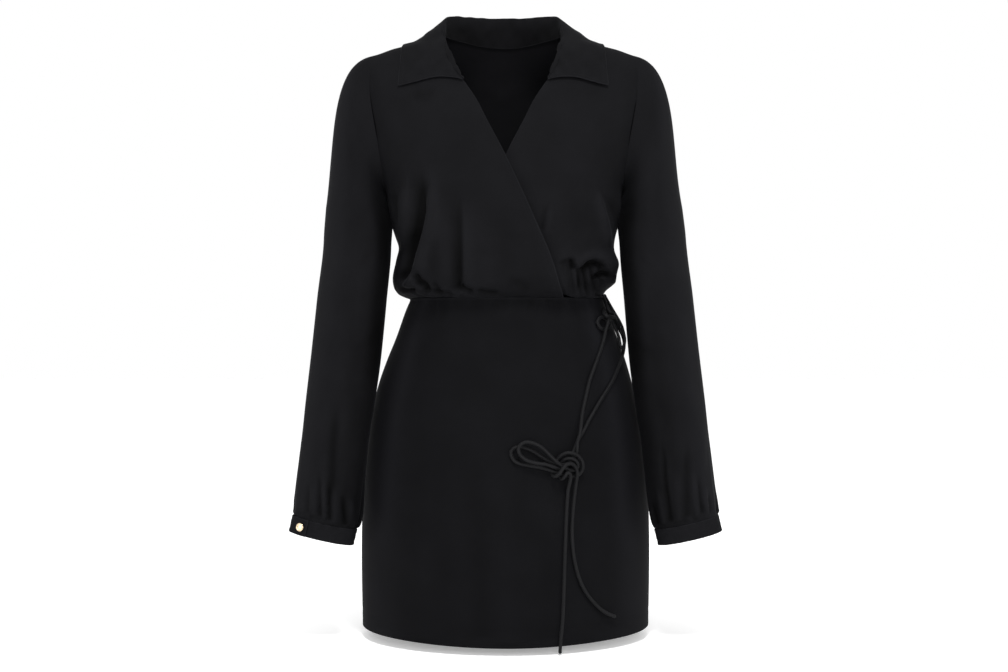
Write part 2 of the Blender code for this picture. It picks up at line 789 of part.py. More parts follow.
def knot(name, size, finish):
    """A plain rounded solid of a knot's outer shape, lying along the skirt's face."""
    top = on_skirt(size.x_top, size.z_top, size.out)
    low = on_skirt(size.x_low, size.z_low, size.out)
    centre = 0.5 * (top + low)
    long = 0.5 * (top - low)
    face = on_skirt(0.5 * (size.x_top + size.x_low), 0.5 * (size.z_top + size.z_low), 0.0)
    across = (centre - face).cross(long).normalized() * size.half_across
    out = long.cross(across).normalized() * size.half_out
    turns, rings = 12, 8
    vertices = [centre + long]
    for ring in range(1, rings):
        tip = math.pi * ring / rings
        for turn in range(turns):
            swing = 2.0 * math.pi * turn / turns
            rim = across * math.cos(swing) + out * math.sin(swing)
            vertices.append(centre + rim * math.sin(tip) + long * math.cos(tip))
    vertices.append(centre - long)
    faces = []
    last = len(vertices) - 1
    for turn in range(turns):
        after = (turn + 1) % turns
        faces.append((0, 1 + turn, 1 + after))
        for ring in range(rings - 2):
            a, b = 1 + ring * turns + turn, 1 + ring * turns + after
            faces.append((a, a + turns, b + turns, b))
        base = 1 + (rings - 2) * turns
        faces.append((base + turn, last, base + after))
    return new_object(name, vertices, faces, finish)


# ---------------------------------------------------------------- the dress

def main():
    for old in list(bpy.data.objects):
        bpy.data.objects.remove(old)
    crepe = material("black_crepe", BLACK_CREPE, 0.85)
    skirt_cloth = material("black_skirt_crepe", BLACK_SKIRT, 0.85)
    rope = material("black_rope", BLACK_CORD, 0.80)
    gold = material("gold_button", GOLD, 0.30, 1.0)

    rows = bodice_rows()
    wall("bodice_front_right", over_front, even(COLUMNS), rows, CLOTH, crepe)
    wall("bodice_front_left", under_front, even(COLUMNS), rows, CLOTH, crepe)
    wall("bodice_back", back_panel, back_columns(), rows, CLOTH, crepe)

    skirt_rows = even(SKIRT_ROWS)
    skirt_columns = even(SKIRT_COLUMNS)
    wall("skirt_front", skirt_panel(-math.pi / 2), skirt_columns, skirt_rows, CLOTH, skirt_cloth)
    wall("skirt_back", skirt_panel(math.pi / 2), skirt_columns, skirt_rows, CLOTH, skirt_cloth)

    sleeve_left = mirrored(sleeve_right)
    around = even(SLEEVE_COLUMNS)
    wall("sleeve_right", sleeve_right, around, sleeve_rows(), CLOTH, crepe, closed=True)
    wall("sleeve_left", sleeve_left, around, sleeve_rows(), CLOTH, crepe, closed=True)

    cuff_right = cuff(CUFF_START_RIGHT)
    cuff_left = mirrored(cuff(CUFF_START_LEFT))
    for name, surface, side in (("right", cuff_right, -1), ("left", cuff_left, 1)):
        wall("cuff_" + name, surface, even(CUFF_COLUMNS), [0.0, 0.5, 1.0], CUFF_CLOTH, crepe)
        cuff_button("cuff_button_" + name, surface, side, gold)

    tree = cloth_tree((over_front, under_front, back_panel))
    across = [0.0, 0.12, 0.26, 0.36, 0.40, 0.44, 0.50, 0.60, 0.72, 0.86, 1.0]
    wall("collar", collar_surface(tree), even(COLLAR_COLUMNS), across, CLOTH, crepe)

    cord("tie_strand_front", TIE_FRONT_STRAND, rope)
    cord("tie_strand_side", TIE_SIDE_STRAND, rope)
    cord("tie_loop_front", TIE_FRONT_LOOP, rope)
    cord("tie_loop_back", TIE_BACK_LOOP, rope)
    cord("tie_tail_long", TIE_LONG_TAIL, rope)
    cord("tie_tail_curved", TIE_CURVED_TAIL, rope)
    knot("tie_waist_knot", WAIST_KNOT, rope)
    knot("tie_bow_knot", BOW_KNOT, rope)


main()
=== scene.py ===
"""A short black wrap dress of crepe, with a shirt collar, gathered sleeves and a cord tie.

Each cut piece is a thin shell of cloth on the form of its solid in the frame, with its own
folds, gathers and turned edges. The tie is two lengths of cord, knotted at the waist and
again in a bow. Metres. +X is the wearer's left, -Y the front and +Z up.
"""

import math

import bpy
import numpy as np
from bpy.props import FloatProperty, FloatVectorProperty, PointerProperty
from bpy.types import Operator, Panel, PropertyGroup
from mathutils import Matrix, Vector
from mathutils.bvhtree import BVHTree


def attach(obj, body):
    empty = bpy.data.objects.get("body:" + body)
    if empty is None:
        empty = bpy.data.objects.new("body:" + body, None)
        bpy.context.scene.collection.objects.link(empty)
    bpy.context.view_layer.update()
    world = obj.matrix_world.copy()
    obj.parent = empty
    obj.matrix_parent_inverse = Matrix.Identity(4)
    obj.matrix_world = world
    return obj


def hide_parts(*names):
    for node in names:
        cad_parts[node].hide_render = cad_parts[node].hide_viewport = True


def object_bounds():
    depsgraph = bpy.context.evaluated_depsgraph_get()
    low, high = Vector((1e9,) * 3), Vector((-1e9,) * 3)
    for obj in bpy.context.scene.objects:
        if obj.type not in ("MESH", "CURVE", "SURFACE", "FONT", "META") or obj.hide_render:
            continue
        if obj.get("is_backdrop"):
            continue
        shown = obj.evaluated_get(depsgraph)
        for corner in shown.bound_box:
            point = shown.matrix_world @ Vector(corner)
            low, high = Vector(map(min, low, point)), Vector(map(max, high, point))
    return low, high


bl_info = {
    "name": "Wrap Dress",
    "version": (1, 0, 0),
    "blender": (4, 5, 0),
    "location": "View3D > Sidebar > Wrap Dress",
    "description": "Makes the cloth, cord and buttons of a worn wrap dress round its frame",
    "category": "Add Mesh",
}

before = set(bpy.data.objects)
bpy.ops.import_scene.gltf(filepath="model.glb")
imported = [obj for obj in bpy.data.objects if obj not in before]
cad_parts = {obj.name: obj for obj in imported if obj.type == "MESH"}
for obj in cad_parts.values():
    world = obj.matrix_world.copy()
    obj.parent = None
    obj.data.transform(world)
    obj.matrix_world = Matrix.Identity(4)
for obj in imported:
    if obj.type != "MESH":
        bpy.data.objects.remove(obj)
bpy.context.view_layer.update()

# What each piece is called beside the node that it stands for
PIECE_NAMES = {
    "bodice_front_right": "over_front_cloth",
    "bodice_front_left": "under_front_cloth",
    "bodice_back": "back_cloth",
    "collar": "collar_cloth",
    "sleeve_right": "right_sleeve_cloth",
    "sleeve_left": "left_sleeve_cloth",
    "cuff_right": "right_cuff_cloth",
    "cuff_left": "left_cuff_cloth",
    "cuff_button_right": "right_domed_button",
    "cuff_button_left": "left_domed_button",
    "skirt_front": "skirt_front_cloth",
    "skirt_back": "skirt_back_cloth",
}

# ---- sizes

# Heights, measured from the neck points
WAIST = -0.3586
HEM = -0.8030
UNDERARM = -0.2220

# Shoulders and neck
NECK_HALF = 0.075
SHOULDER_HALF = 0.181
SHOULDER_SLOPE = 0.238
NECK_RISE = 0.026
NECK_BACK_DROP = 0.004
ROUNDING = 0.100
BODY_SQUARENESS = 2.5
SKIRT_SQUARENESS = 1.98
ARMHOLE_FRONT_CUT = 0.088
ARMHOLE_BACK_CUT = 0.066
SHOULDER_LEAN = 0.0024
UNDERARM_EASE = 0.0052
UNDER_SINK = 0.0042
UNDER_RAMP = 0.020
HIDDEN_SINK = 0.0040
CAP_DROP = 0.0026
HEM_RISE = 0.0044

# Cloth thickness, and the gap that two sewn pieces keep
CLOTH = 0.0012
TURNED = 0.0015
TURNED_WIDTH = 0.0075
SEAM = 0.0006
SEWN_OVERLAP = 0.0004
SHARP_RIM = math.radians(62.0)

# Painted shade in creases and painted highlight on ridges: judged against the cloth this far round it, full
# at this depth
CREASE_REACH = 0.018
CREASE_FULL = 0.0036
CREASE_PALE = 0.5

# Collar
COLLAR_BASE = 0.0030
COLLAR_LIFT = 0.0038
COLLAR_RIDGE_LIFT = 0.0012
COLLAR_SPRING = 0.0015
COLLAR_KINK = 0.0072

# Cuffs and buttons
CUFF_HEIGHT = 0.0215
CUFF_TILT = math.radians(13.0)
CUFF_OVERLAP = math.radians(38.0)
CUFF_START_RIGHT = math.radians(27.0)
CUFF_START_LEFT = math.radians(-66.0)
CUFF_STEP = 0.0024
CUFF_PROUD = 0.0006
WRIST_OUT = 0.0014
BUTTON_RADIUS = 0.0054
BUTTON_HEIGHT = 0.0033
BUTTON_PLACE = 0.31
BUTTON_SIDES = 48

# Cord
CORD_STEP = 0.0016
CORD_SIDES = 14
KNOT_ROUNDS = 160

# Camera
CAMERA_SIDE = -0.0017
CAMERA_AWAY = 2.0
CAMERA_HEIGHT = -0.4092
CAMERA_LENS = 52.33

# The front drawing: how long its unit is, and where its lines for X and Z cross
UNIT = 0.001365
DRAWN_MIDDLE = 504.0 - CAMERA_SIDE / UNIT
DRAWN_NECK = 336.0 + CAMERA_HEIGHT / UNIT

# Stitches: how far they run inside an edge, half their width, and how many there are to a metre
STITCH_LINE = 0.0055
STITCH_HALF = 0.00045
STITCHES = 400.0

# width, front and back depth of the body at each height
BODICE_ROWS = (
    (-0.3586, 0.132, 0.0955, 0.09), (-0.3565, 0.1385, 0.1015, 0.0945), (-0.351, 0.1455, 0.1095, 0.0995),
    (-0.343, 0.15, 0.1155, 0.1035), (-0.33, 0.152, 0.121, 0.1055), (-0.3, 0.151, 0.128, 0.1045),
    (-0.272, 0.149, 0.131, 0.104), (-0.24, 0.1535, 0.131, 0.105), (-0.222, 0.157, 0.129, 0.106),
    (-0.17, 0.176, 0.119, 0.108), (-0.12, 0.19, 0.101, 0.105), (-0.07, 0.197, 0.081, 0.097),
    (-0.01, 0.198, 0.062, 0.086), (0.04, 0.198, 0.05, 0.076),
)
SKIRT_ROWS = (
    (-0.3586, 0.132, 0.0955, 0.09), (-0.375, 0.1395, 0.0975, 0.0965), (-0.403, 0.1495, 0.1025, 0.106),
    (-0.443, 0.164, 0.1105, 0.119), (-0.485, 0.1755, 0.118, 0.13), (-0.54, 0.1865, 0.127, 0.139),
    (-0.62, 0.1945, 0.137, 0.144), (-0.7, 0.196, 0.143, 0.145), (-0.803, 0.1945, 0.147, 0.144),
)
# The over front's inner edge, by height
WRAP_ROWS = (
    (-0.3586, 0.0762), (-0.3471, 0.072), (-0.3146, 0.0616), (-0.2561, 0.0366), (-0.1753, -0.0004),
    (-0.1292, -0.0237), (-0.1015, -0.0372), (-0.0706, -0.0571), (-0.06, -0.064), (-0.045, -0.0702),
    (-0.02, -0.0746), (0.0, -0.075),
)
# Half of the collar, from centre back (0) to the front end (1): its fold and its outer edge
COLLAR_ROWS = (
    (0.0, 0.0, 0.073, 0.039, 0.0, 0.101, -0.018), (0.22, 0.04, 0.064, 0.0378, 0.064, 0.095, -0.022),
    (0.42, 0.069, 0.04, 0.0335, 0.108, 0.066, -0.022), (0.56, 0.0785, 0.012, 0.0262, 0.137, 0.016, -0.013),
    (0.7, 0.078, -0.014, 0.004, 0.139, -0.022, -0.023), (0.85, 0.07, -0.045, -0.0295, 0.14, -0.048, -0.05),
    (1, 0.0553, -0.08, -0.074, 0.141, -0.064, -0.08),
)
# The right sleeve's rings: height, middle, half widths, turn and tilt
SLEEVE_ROWS = (
    (-0.6522, -0.2362, -0.076, 0.0415, 0.027, 0.0, 13),
    (-0.645, -0.2338, -0.0755, 0.0427, 0.0308, 0.02, 12.5),
    (-0.63, -0.232, -0.0745, 0.0443, 0.0395, 0.04, 10), (-0.6, -0.2298, -0.071, 0.0446, 0.045, 0.08, 6.5),
    (-0.548, -0.2246, -0.064, 0.0446, 0.048, 0.1, 5), (-0.495, -0.2184, -0.055, 0.0462, 0.05, 0.12, 4),
    (-0.441, -0.2125, -0.045, 0.0469, 0.052, 0.14, 3), (-0.36, -0.206, -0.03, 0.0465, 0.0545, 0.16, 2),
    (-0.278, -0.2, -0.016, 0.045, 0.056, 0.18, 1), (-0.236, -0.2014, -0.011, 0.0404, 0.055, 0.18, 1),
)
SLEEVE_TUBE = 0.7
# A button from its back to its crown: shares of its radius and of its height
BUTTON_ROWS = (
    (0.02, 0.0), (0.80, 0.02), (0.92, 0.12), (0.985, 0.26), (1.0, 0.42), (0.985, 0.60), (0.93, 0.76),
    (0.86, 0.80), (0.79, 0.72), (0.76, 0.66), (0.70, 0.68), (0.55, 0.74), (0.30, 0.79), (0.02, 0.80),
)

# ---- folds

# A fold of the front drawing: its line, how far it stands out (mm), how wide it is to the
# left and to the right of the line, and how much of each end of the line it fades over.
OVER_FOLDS = (
    (((417, 158), (421, 188), (421, 212), (417, 229), (409, 250), (404, 268), (397, 283)),
     (-2, -5, -9, -13.5, -17, -14), (9, 8.5, 7), (5.5, 4.7, 4.7), 0.45, 0.08),
    (((433, 160), (431, 190), (428, 214), (424, 236), (418, 262), (414, 276)),
     (1.2, 3.6, 5, 5), (3, 3, 3.2), (8, 10), 0.4, 0.12),
    (((409, 168), (405, 205), (401, 238), (398, 252)), 1.7, (5, 4), (3.5, 2.5), 0.35, 0.3),
    (((395, 190), (397, 210), (399, 230)), -2, 3, 3, 0.3, 0.4),
    (((389, 250), (389, 266), (392, 280)), 2, 6, 5, 0.3, 0.3),
    (((414, 272), (417, 281), (424, 286), (428, 294)), (-7, -9, -7), 3.4, 3.4, 0.16, 0.06),
    (((404, 288), (409, 281), (412, 276)), 4.5, 3.2, 3.6, 0.3, 0.2),
    (((398, 287), (404, 291), (416, 292)), (-3, -6), 2.8, 2.8, 0.2, 0.2),
    (((430, 292), (440, 294), (454, 295)), (-3, -3.6), 2.8, 2.8, 0.2, 0.2),
    (((436, 190), (440, 240), (446, 286)), 1.6, 9, 9, 0.35, 0.2),
    (((456, 184), (459, 215), (459.6, 250), (460, 293)), (-1, -3.4, -5.4), (7.5, 8), (3.4, 2.6), 0.45, 0.04),
    (((464, 200), (465, 245), (465.5, 290)), 1.1, 2.8, 8, 0.3, 0.1),
    (((431, 282), (437, 289), (441, 296)), -3, 3.4, 3, 0.3, 0.02),
    (((459, 284), (466, 290), (474, 293)), -5, 3.2, 3.2, 0.15, 0.2),
    (((476, 290), (486, 292.5), (500, 293.5)), -3.2, 2.8, 2.8, 0.2, 0.3),
    (((506, 281), (518, 284), (532, 291)), -1.4, 5, 5, 0.3, 0.3),
    (((486, 250), (490, 275), (492, 288)), 1, 9, 9, 0.4, 0.2),
    (((500, 205), (505, 245), (512, 285)), -0.9, 12, 12, 0.4, 0.3),
    (((372, 84), (374, 118), (376, 146)), -1, 6, 6, 0.3, 0.4),
    (((390, 96), (396, 130), (402, 166)), 0.9, 8, 8, 0.3, 0.3),
    (((410, 92), (424, 96), (436, 88)), -1.2, 6, 6, 0.3, 0.3),
)
UNDER_FOLDS = (
    (((597, 186), (603, 214), (611, 246)), (2.5, 4.5, 3), (6, 7), 2.4, 0.35, 0.2),
    (((608, 196), (614, 220), (620, 240)), -2.2, 3, 4, 0.3, 0.3),
    (((548, 200), (544, 216), (541, 232)), -1.3, 3, 2, 0.4, 0.15),
    (((553, 205), (549, 222), (546, 236)), 0.8, 3, 3, 0.4, 0.2),
    (((566, 170), (574, 205), (582, 240)), -1, 12, 10, 0.4, 0.3),
    (((634, 95), (631, 122), (626, 152)), -1, 6, 6, 0.3, 0.4),
    (((583, 271), (588, 265), (595, 262.5), (603, 264), (608, 270)), (-3, -6, -6, -4), 3.2, 3.2, 0.15, 0.2),
    (((572, 258), (574, 264), (575, 271)), -4, 2.4, 2.4, 0.2, 0.3),
    (((596, 284), (599, 277), (606, 273.6), (616, 275)), (-5, -7, -4), 2.4, 2.4, 0.2, 0.2),
)
# The under front's blouse hangs over its gathers along this line, by place across
LIP_ROWS = (
    (540, 273), (552, 266.5), (560, 261), (566, 258), (571, 256.5), (575, 262), (579, 267), (583, 265.5),
    (588, 261), (595, 258.5), (602, 260.5), (608, 266), (614, 272), (622, 277),
)
LIP_DROP = 0.006
# Gathers below the lip: place across, depth (mm) and width
LIP_GATHERS = (
    (562.5, -1.6, 1.5), (566.4, 1.2, 1.6), (569.6, -1.2, 1.3), (572.9, -2.6, 1.6), (576.6, 2.4, 1.7),
    (580.2, -3, 1.6), (583.6, 2.4, 1.6), (587.2, -3.4, 1.7), (591, 2.4, 1.8), (595.4, -3.2, 1.7),
    (599.4, 1.8, 1.7), (603.2, -1.8, 1.6), (607, 1.6, 1.7), (611, -1.4, 1.6),
)
BACK_FOLDS = (
    (((428, 190), (422, 225), (412, 262), (404, 284)), -5, 7, 7, 0.3, 0.15),
    (((440, 196), (437, 236), (428, 280)), 3.2, 5, 8, 0.3, 0.2),
    (((588, 186), (594, 226), (603, 262), (610, 282)), -5.4, 7, 6, 0.3, 0.15),
    (((574, 200), (579, 240), (588, 284)), 2.8, 8, 5, 0.3, 0.2),
    (((470, 214), (468, 250), (464, 292)), -2.6, 6, 4, 0.35, 0.03),
    (((481, 222), (480, 256), (477, 292)), 1.4, 5, 6, 0.35, 0.05),
    (((541, 210), (545, 252), (549, 292)), -2.8, 4, 7, 0.35, 0.03),
    (((508, 236), (510, 262), (513, 292)), -1.4, 6, 6, 0.35, 0.03),
    (((528, 226), (531, 258), (533, 290)), 1.2, 6, 5, 0.35, 0.05),
    (((440, 274), (447, 286), (458, 293)), -3.2, 4, 4, 0.2, 0.2),
    (((566, 270), (559, 284), (548, 293)), -3.2, 4, 4, 0.2, 0.2),
    (((400, 98), (410, 130), (414, 160)), -1.2, 8, 8, 0.3, 0.4),
    (((610, 100), (602, 134), (598, 166)), -1.2, 8, 8, 0.3, 0.4),
    (((470, 70), (500, 90), (536, 74)), -0.9, 8, 8, 0.3, 0.3),
)
SKIRT_FOLDS = (
    (((474, 430), (477, 520), (481, 640)), -1.9, 14, 12, 0.5, 0.02),
    (((503, 460), (506, 540), (508, 645)), 1.3, 12, 12, 0.5, 0.02),
    (((436, 380), (430, 500), (424, 640)), 1, 16, 14, 0.5, 0.02),
    (((398, 400), (388, 500), (384, 630)), -1.1, 10, 12, 0.5, 0.02),
    (((604, 420), (612, 520), (617, 630)), -1.2, 12, 10, 0.5, 0.02),
    (((552, 520), (549, 580), (548, 640)), -1, 14, 12, 0.5, 0.02),
)
SKIRT_BACK_FOLDS = (
    (((482, 400), (478, 500), (470, 640)), -2, 13, 12, 0.5, 0.02),
    (((520, 380), (528, 500), (536, 640)), -1.7, 12, 14, 0.5, 0.02),
    (((502, 420), (503, 520), (504, 640)), 1.4, 12, 12, 0.5, 0.02),
    (((436, 400), (426, 500), (420, 640)), 1.3, 14, 14, 0.5, 0.02),
    (((578, 390), (588, 510), (592, 640)), 1.2, 14, 16, 0.5, 0.02),
    (((404, 440), (396, 520), (392, 630)), -1.4, 10, 12, 0.5, 0.02),
    (((612, 420), (618, 520), (620, 630)), -1.2, 10, 12, 0.5, 0.02),
)
RIGHT_SLEEVE_FOLDS = (
    (((336, 395), (333, 440), (331, 500)), -3, 6, 4.5, 0.4, 0.2),
    (((319, 470), (319, 495), (320, 517)), -2.6, 2.2, 1.8, 0.4, 0.05),
    (((324, 478), (324, 500), (324.5, 518)), 1.8, 2.2, 2.2, 0.4, 0.05),
    (((328, 480), (329, 503), (329.5, 521)), -3, 2.2, 2.4, 0.4, 0.05),
    (((335, 484), (335, 505), (336, 522)), 1.6, 3.2, 3, 0.4, 0.05),
    (((343, 492), (344, 510), (346, 526)), -2.8, 2.4, 2, 0.4, 0.05),
    (((350, 496), (352, 512), (353, 527)), 1.8, 2.8, 2.8, 0.4, 0.05),
    (((313, 486), (313, 500), (313, 515)), 1.6, 2.4, 2.4, 0.4, 0.05),
    (((308, 482), (307, 500), (307, 514)), -1.6, 1.8, 1.8, 0.4, 0.05),
    (((300, 470), (299, 492), (299, 512)), 1, 3, 3, 0.4, 0.05),
    (((362, 240), (360, 300), (356, 360)), 1, 8, 8, 0.4, 0.4),
    (((347, 120), (345, 180), (343, 240)), -0.8, 9, 9, 0.4, 0.4),
    (((350, 380), (345, 420), (342, 460)), 1.2, 7, 7, 0.4, 0.4),
    (((372, 250), (364, 262), (352, 270)), -0.7, 4, 5, 0.3, 0.5),
    (((376, 330), (366, 344), (352, 354)), -0.6, 5, 6, 0.3, 0.5),
)
LEFT_SLEEVE_FOLDS = (
    (((663, 440), (665, 480), (671, 523)), -2.8, 2.6, 2, 0.4, 0.04),
    (((657, 486), (661, 505), (664, 524)), 1.6, 2.4, 2.4, 0.4, 0.05),
    (((676, 470), (678, 496), (680, 521)), 1.8, 4, 4, 0.4, 0.05),
    (((688, 436), (688, 480), (688, 519)), -2.4, 4, 3.4, 0.4, 0.05),
    (((694, 470), (695, 494), (697, 516)), 1.7, 2.4, 2.4, 0.4, 0.05),
    (((699, 474), (701, 494), (703, 514)), -2.6, 2, 2, 0.4, 0.05),
    (((705, 484), (706, 500), (708, 513)), 1.6, 2, 2, 0.4, 0.05),
    (((709, 494), (710, 504), (711, 512)), -1.8, 1.5, 1.5, 0.4, 0.05),
    (((651, 500), (654, 512), (657, 525)), -2.2, 2.4, 2.4, 0.4, 0.05),
    (((703, 420), (704, 450), (704, 480)), 1.2, 4, 3, 0.4, 0.4),
    (((645, 240), (647, 300), (651, 360)), 1, 8, 8, 0.4, 0.4),
    (((662, 120), (665, 180), (668, 240)), -0.8, 9, 9, 0.4, 0.4),
    (((636, 252), (644, 262), (656, 268)), -0.7, 5, 4, 0.3, 0.5),
    (((634, 338), (644, 350), (658, 358)), -0.6, 6, 5, 0.3, 0.5),
)

# ---- the tie's route

# Stops on the skirt: across, up, and out from its face to the cord's middle
FRONT_STRAND = (
    (0.128, -0.412, 0.004), (0.1236, -0.428, 0.003), (0.1146, -0.451, 0.0028), (0.1077, -0.4705, 0.0028),
    (0.0987, -0.509, 0.0028), (0.0936, -0.5355, 0.007),
)
SIDE_STRAND = (
    (0.14, -0.467, 0.0028), (0.122, -0.494, 0.0028), (0.1072, -0.518, 0.0028), (0.0993, -0.533, 0.0028),
)
LONG_TAIL = (
    (0.0775, -0.6327, 0.0028), (0.0749, -0.697, 0.0028), (0.0725, -0.7626, 0.0028),
    (0.0696, -0.7952, 0.0028), (0.0686, -0.813, 0.0028),
)
CURVED_TAIL = (
    (0.0856, -0.633, 0.0028), (0.0842, -0.6658, 0.0028), (0.0876, -0.6976, 0.0028),
    (0.0956, -0.7248, 0.0028), (0.1072, -0.7448, 0.0028), (0.1243, -0.7632, 0.0028),
    (0.1414, -0.7732, 0.0028),
)
# Turns inside the knots: across and down on the front drawing, and out in millimetres
WAIST_TURNS_FRONT = (
    (601.6, 294.4, 1), (603.4, 298.2, 3.6), (605.2, 302.6, 6.4), (607, 306.8, 8.6), (608.6, 310.2, 10.6),
    (610.2, 312.8, 11.6), (613.6, 315, 11), (614.6, 318.4, 8.6), (611.6, 320.6, 6), (607, 319, 4.8),
    (602.8, 316.4, 5), (599.2, 317.6, 5), (597.4, 321.6, 4.4), (598.2, 326.4, 3.8), (601.4, 329.6, 3.4),
    (605.6, 329.6, 3.2), (608.8, 327, 3.6), (610.4, 323.2, 5.5), (610.2, 319.6, 9.5), (608.9, 318.4, 12.2),
    (608.4, 321.4, 12.6), (607.4, 325.6, 10.6), (605.6, 330.4, 8),
)
WAIST_TURNS_SIDE = (
    (603.8, 294, 1), (605.8, 298, 4), (608.8, 303.4, 7), (612, 309, 9.5), (615.4, 314.8, 11.5),
    (619, 320.8, 12.5), (621.8, 326.6, 12.8), (623.6, 332.6, 12.6), (624.6, 338.6, 12),
    (624.4, 344.4, 10.8), (622.8, 349.4, 9.2), (620.8, 349.4, 7.8), (619.9, 344, 7.2), (619, 338, 7),
    (617, 332, 7), (614.6, 326.4, 7.2), (612.4, 321, 7.6), (610.6, 315.8, 7.8), (608.8, 311.2, 6.6),
    (606.2, 308.6, 4.6), (603.8, 310.2, 4), (603.6, 314, 7.4), (605.4, 316.4, 11.4), (608.6, 316.6, 14),
    (612, 316.6, 13), (614.8, 318.8, 10), (616.6, 322.6, 8.6), (618.2, 326.6, 8.8), (620.2, 330.6, 8.4),
    (622.2, 334.8, 7.6), (623.6, 339.2, 7), (624.2, 343.6, 6.4), (623.9, 348.5, 5.4), (622.7, 354.5, 4.4),
    (620.8, 360.5, 3.4),
)
BOW_TURNS_FRONT = (
    (577.2, 441, 6.8), (576.6, 446.5, 6.4), (575.8, 452, 5.4), (573.6, 457.6, 4), (570, 462.8, 3.4),
    (565.6, 467, 5), (561.2, 469, 8.4), (557, 468.6, 11), (552.6, 466.4, 11.8), (545.3, 464.4, 11.3),
    (536, 463, 10.4), (528, 460.9, 9.8), (522.7, 457.4, 9.4), (519.2, 453.6, 9.2), (517.2, 449.3, 9.2),
    (518.4, 445.2, 9.2), (522, 442.7, 9.5), (526.7, 442, 9.8), (534.7, 443.7, 10.3), (541.3, 447.3, 10.8),
    (546.7, 452, 11.3), (552.7, 458.3, 12), (557.8, 463, 12.4), (562.6, 466.6, 11.5), (567.6, 469.4, 10),
    (573, 471.2, 8.6), (577.2, 470.6, 8.2), (579, 467.2, 8.8), (578.4, 463, 9.8), (575.6, 459.6, 11),
    (571.4, 458, 11.4), (566.8, 457.8, 10.4), (563.2, 459.6, 7.4), (560.8, 463, 4.2), (559, 467.4, 2.8),
    (558.6, 473, 2.8), (559.6, 478.6, 3.6), (561.6, 480.8, 7.2), (563.8, 478.6, 11.5), (565.6, 474.2, 13.6),
    (568.2, 470.2, 14), (570.6, 472.4, 13), (571.2, 477.2, 10.4), (570, 483, 7.2), (568.4, 488.5, 4.8),
)
BOW_TURNS_SIDE = (
    (578.6, 438.5, 2.8), (576.2, 444.5, 2.8), (574.8, 450, 3.2), (574.2, 455.5, 5), (572, 461, 6.8),
    (566, 465, 7.2), (559.6, 465.2, 7.2), (553.4, 463.2, 6.4), (546.7, 459.8, 4.4), (540, 455.6, 3.5),
    (533.3, 451.5, 3.1), (527, 448.6, 2.9), (520.6, 446.8, 2.8), (514.6, 446.2, 2.8), (511.4, 449.6, 2.8),
    (511.4, 455.4, 2.8), (514.2, 460.6, 2.8), (519.3, 463.4, 2.8), (528, 465.4, 2.9), (537.3, 467, 3.2),
    (545.3, 468.6, 4.2), (551.8, 471, 6.6), (557.6, 473.2, 7.4), (563.6, 475.2, 6.6), (569.6, 476.8, 5),
    (575.6, 477, 4.2), (580.6, 474.2, 5.2), (583.3, 469.4, 7.2), (583.4, 463.6, 8.8), (581, 458, 10),
    (576.8, 454.2, 10.8), (572, 452.4, 10.8), (566.6, 452.3, 9.8), (561.2, 454.6, 7.2), (557.2, 458.8, 4.4),
    (554.6, 464, 2.8), (553, 469.8, 2.8), (551.6, 475, 4.4), (552.6, 477.6, 8.4), (556, 477.6, 12.4),
    (559.6, 473.8, 15.4), (562.8, 468.4, 16.6), (566, 463.8, 16.2), (570.2, 462.4, 15), (574.2, 464, 13.2),
    (576.8, 468.4, 11), (577.2, 474.8, 8.4), (576.2, 482, 6.2), (575.4, 488, 4.6),
)


# ---- general helpers

def smoothstep(value):
    value = np.clip(value, 0.0, 1.0)
    return value * value * (3.0 - 2.0 * value)


def ramp(value, start, width):
    """A smooth climb from 0 at the start to 1 a width further on."""
    return smoothstep((value - start) / width)


def hump(value, middle, width):
    """A smooth rise to 1 at the middle, with next to nothing left two widths away."""
    return np.exp(-(((value - middle) / width) ** 2))


def quarter_round(share):
    """A quarter of a circle, from 0 at its foot to 1 on its crown."""
    return np.sqrt(1.0 - (1.0 - np.clip(share, 0.0, 1.0)) ** 2)


def mix(first, second, share):
    return first + (second - first) * share


def points_of(x, y, z):
    return np.stack(np.broadcast_arrays(x, y, z), axis=-1)


def parts_of(points):
    return np.moveaxis(points, -1, 0)


def unit(ways):
    return ways / np.maximum(np.linalg.norm(ways, axis=-1, keepdims=True), 1e-12)


def bridge(first, leave, last, arrive, t):
    """The smooth way from first to last, by the slopes that it leaves and arrives with."""
    return (
        (2 * t**3 - 3 * t**2 + 1) * first + (t**3 - 2 * t**2 + t) * leave
        + (3 * t**2 - 2 * t**3) * last + (t**3 - t**2) * arrive
    )


class Profile:
    """Smooth curves through a table's rows, which never overshoot them."""

    def __init__(self, rows):
        table = np.array(sorted(rows), float)
        self.at, self.values = table[:, 0], table[:, 1:]
        steps = np.diff(self.values, axis=0) / np.diff(self.at)[:, None]
        product = steps[:-1] * steps[1:]
        total = np.where(product > 0.0, steps[:-1] + steps[1:], 1.0)
        inner = np.where(product > 0.0, 2.0 * product / total, 0.0)
        self.slopes = np.vstack([steps[:1], inner, steps[-1:]])

    def __call__(self, place):
        place = np.clip(np.asarray(place, float), self.at[0], self.at[-1])
        i = np.clip(np.searchsorted(self.at, place, side="right") - 1, 0, len(self.at) - 2)
        span = (self.at[i + 1] - self.at[i])[..., None]
        t = (place - self.at[i])[..., None] / span
        first, last = self.values[i], self.values[i + 1]
        return parts_of(bridge(first, span * self.slopes[i], last, span * self.slopes[i + 1], t))


BODICE = Profile(BODICE_ROWS)
SKIRT = Profile(SKIRT_ROWS)
WRAP = Profile(WRAP_ROWS)
COLLAR = Profile(COLLAR_ROWS)
SLEEVE = Profile(SLEEVE_ROWS)
LIP = Profile(LIP_ROWS)


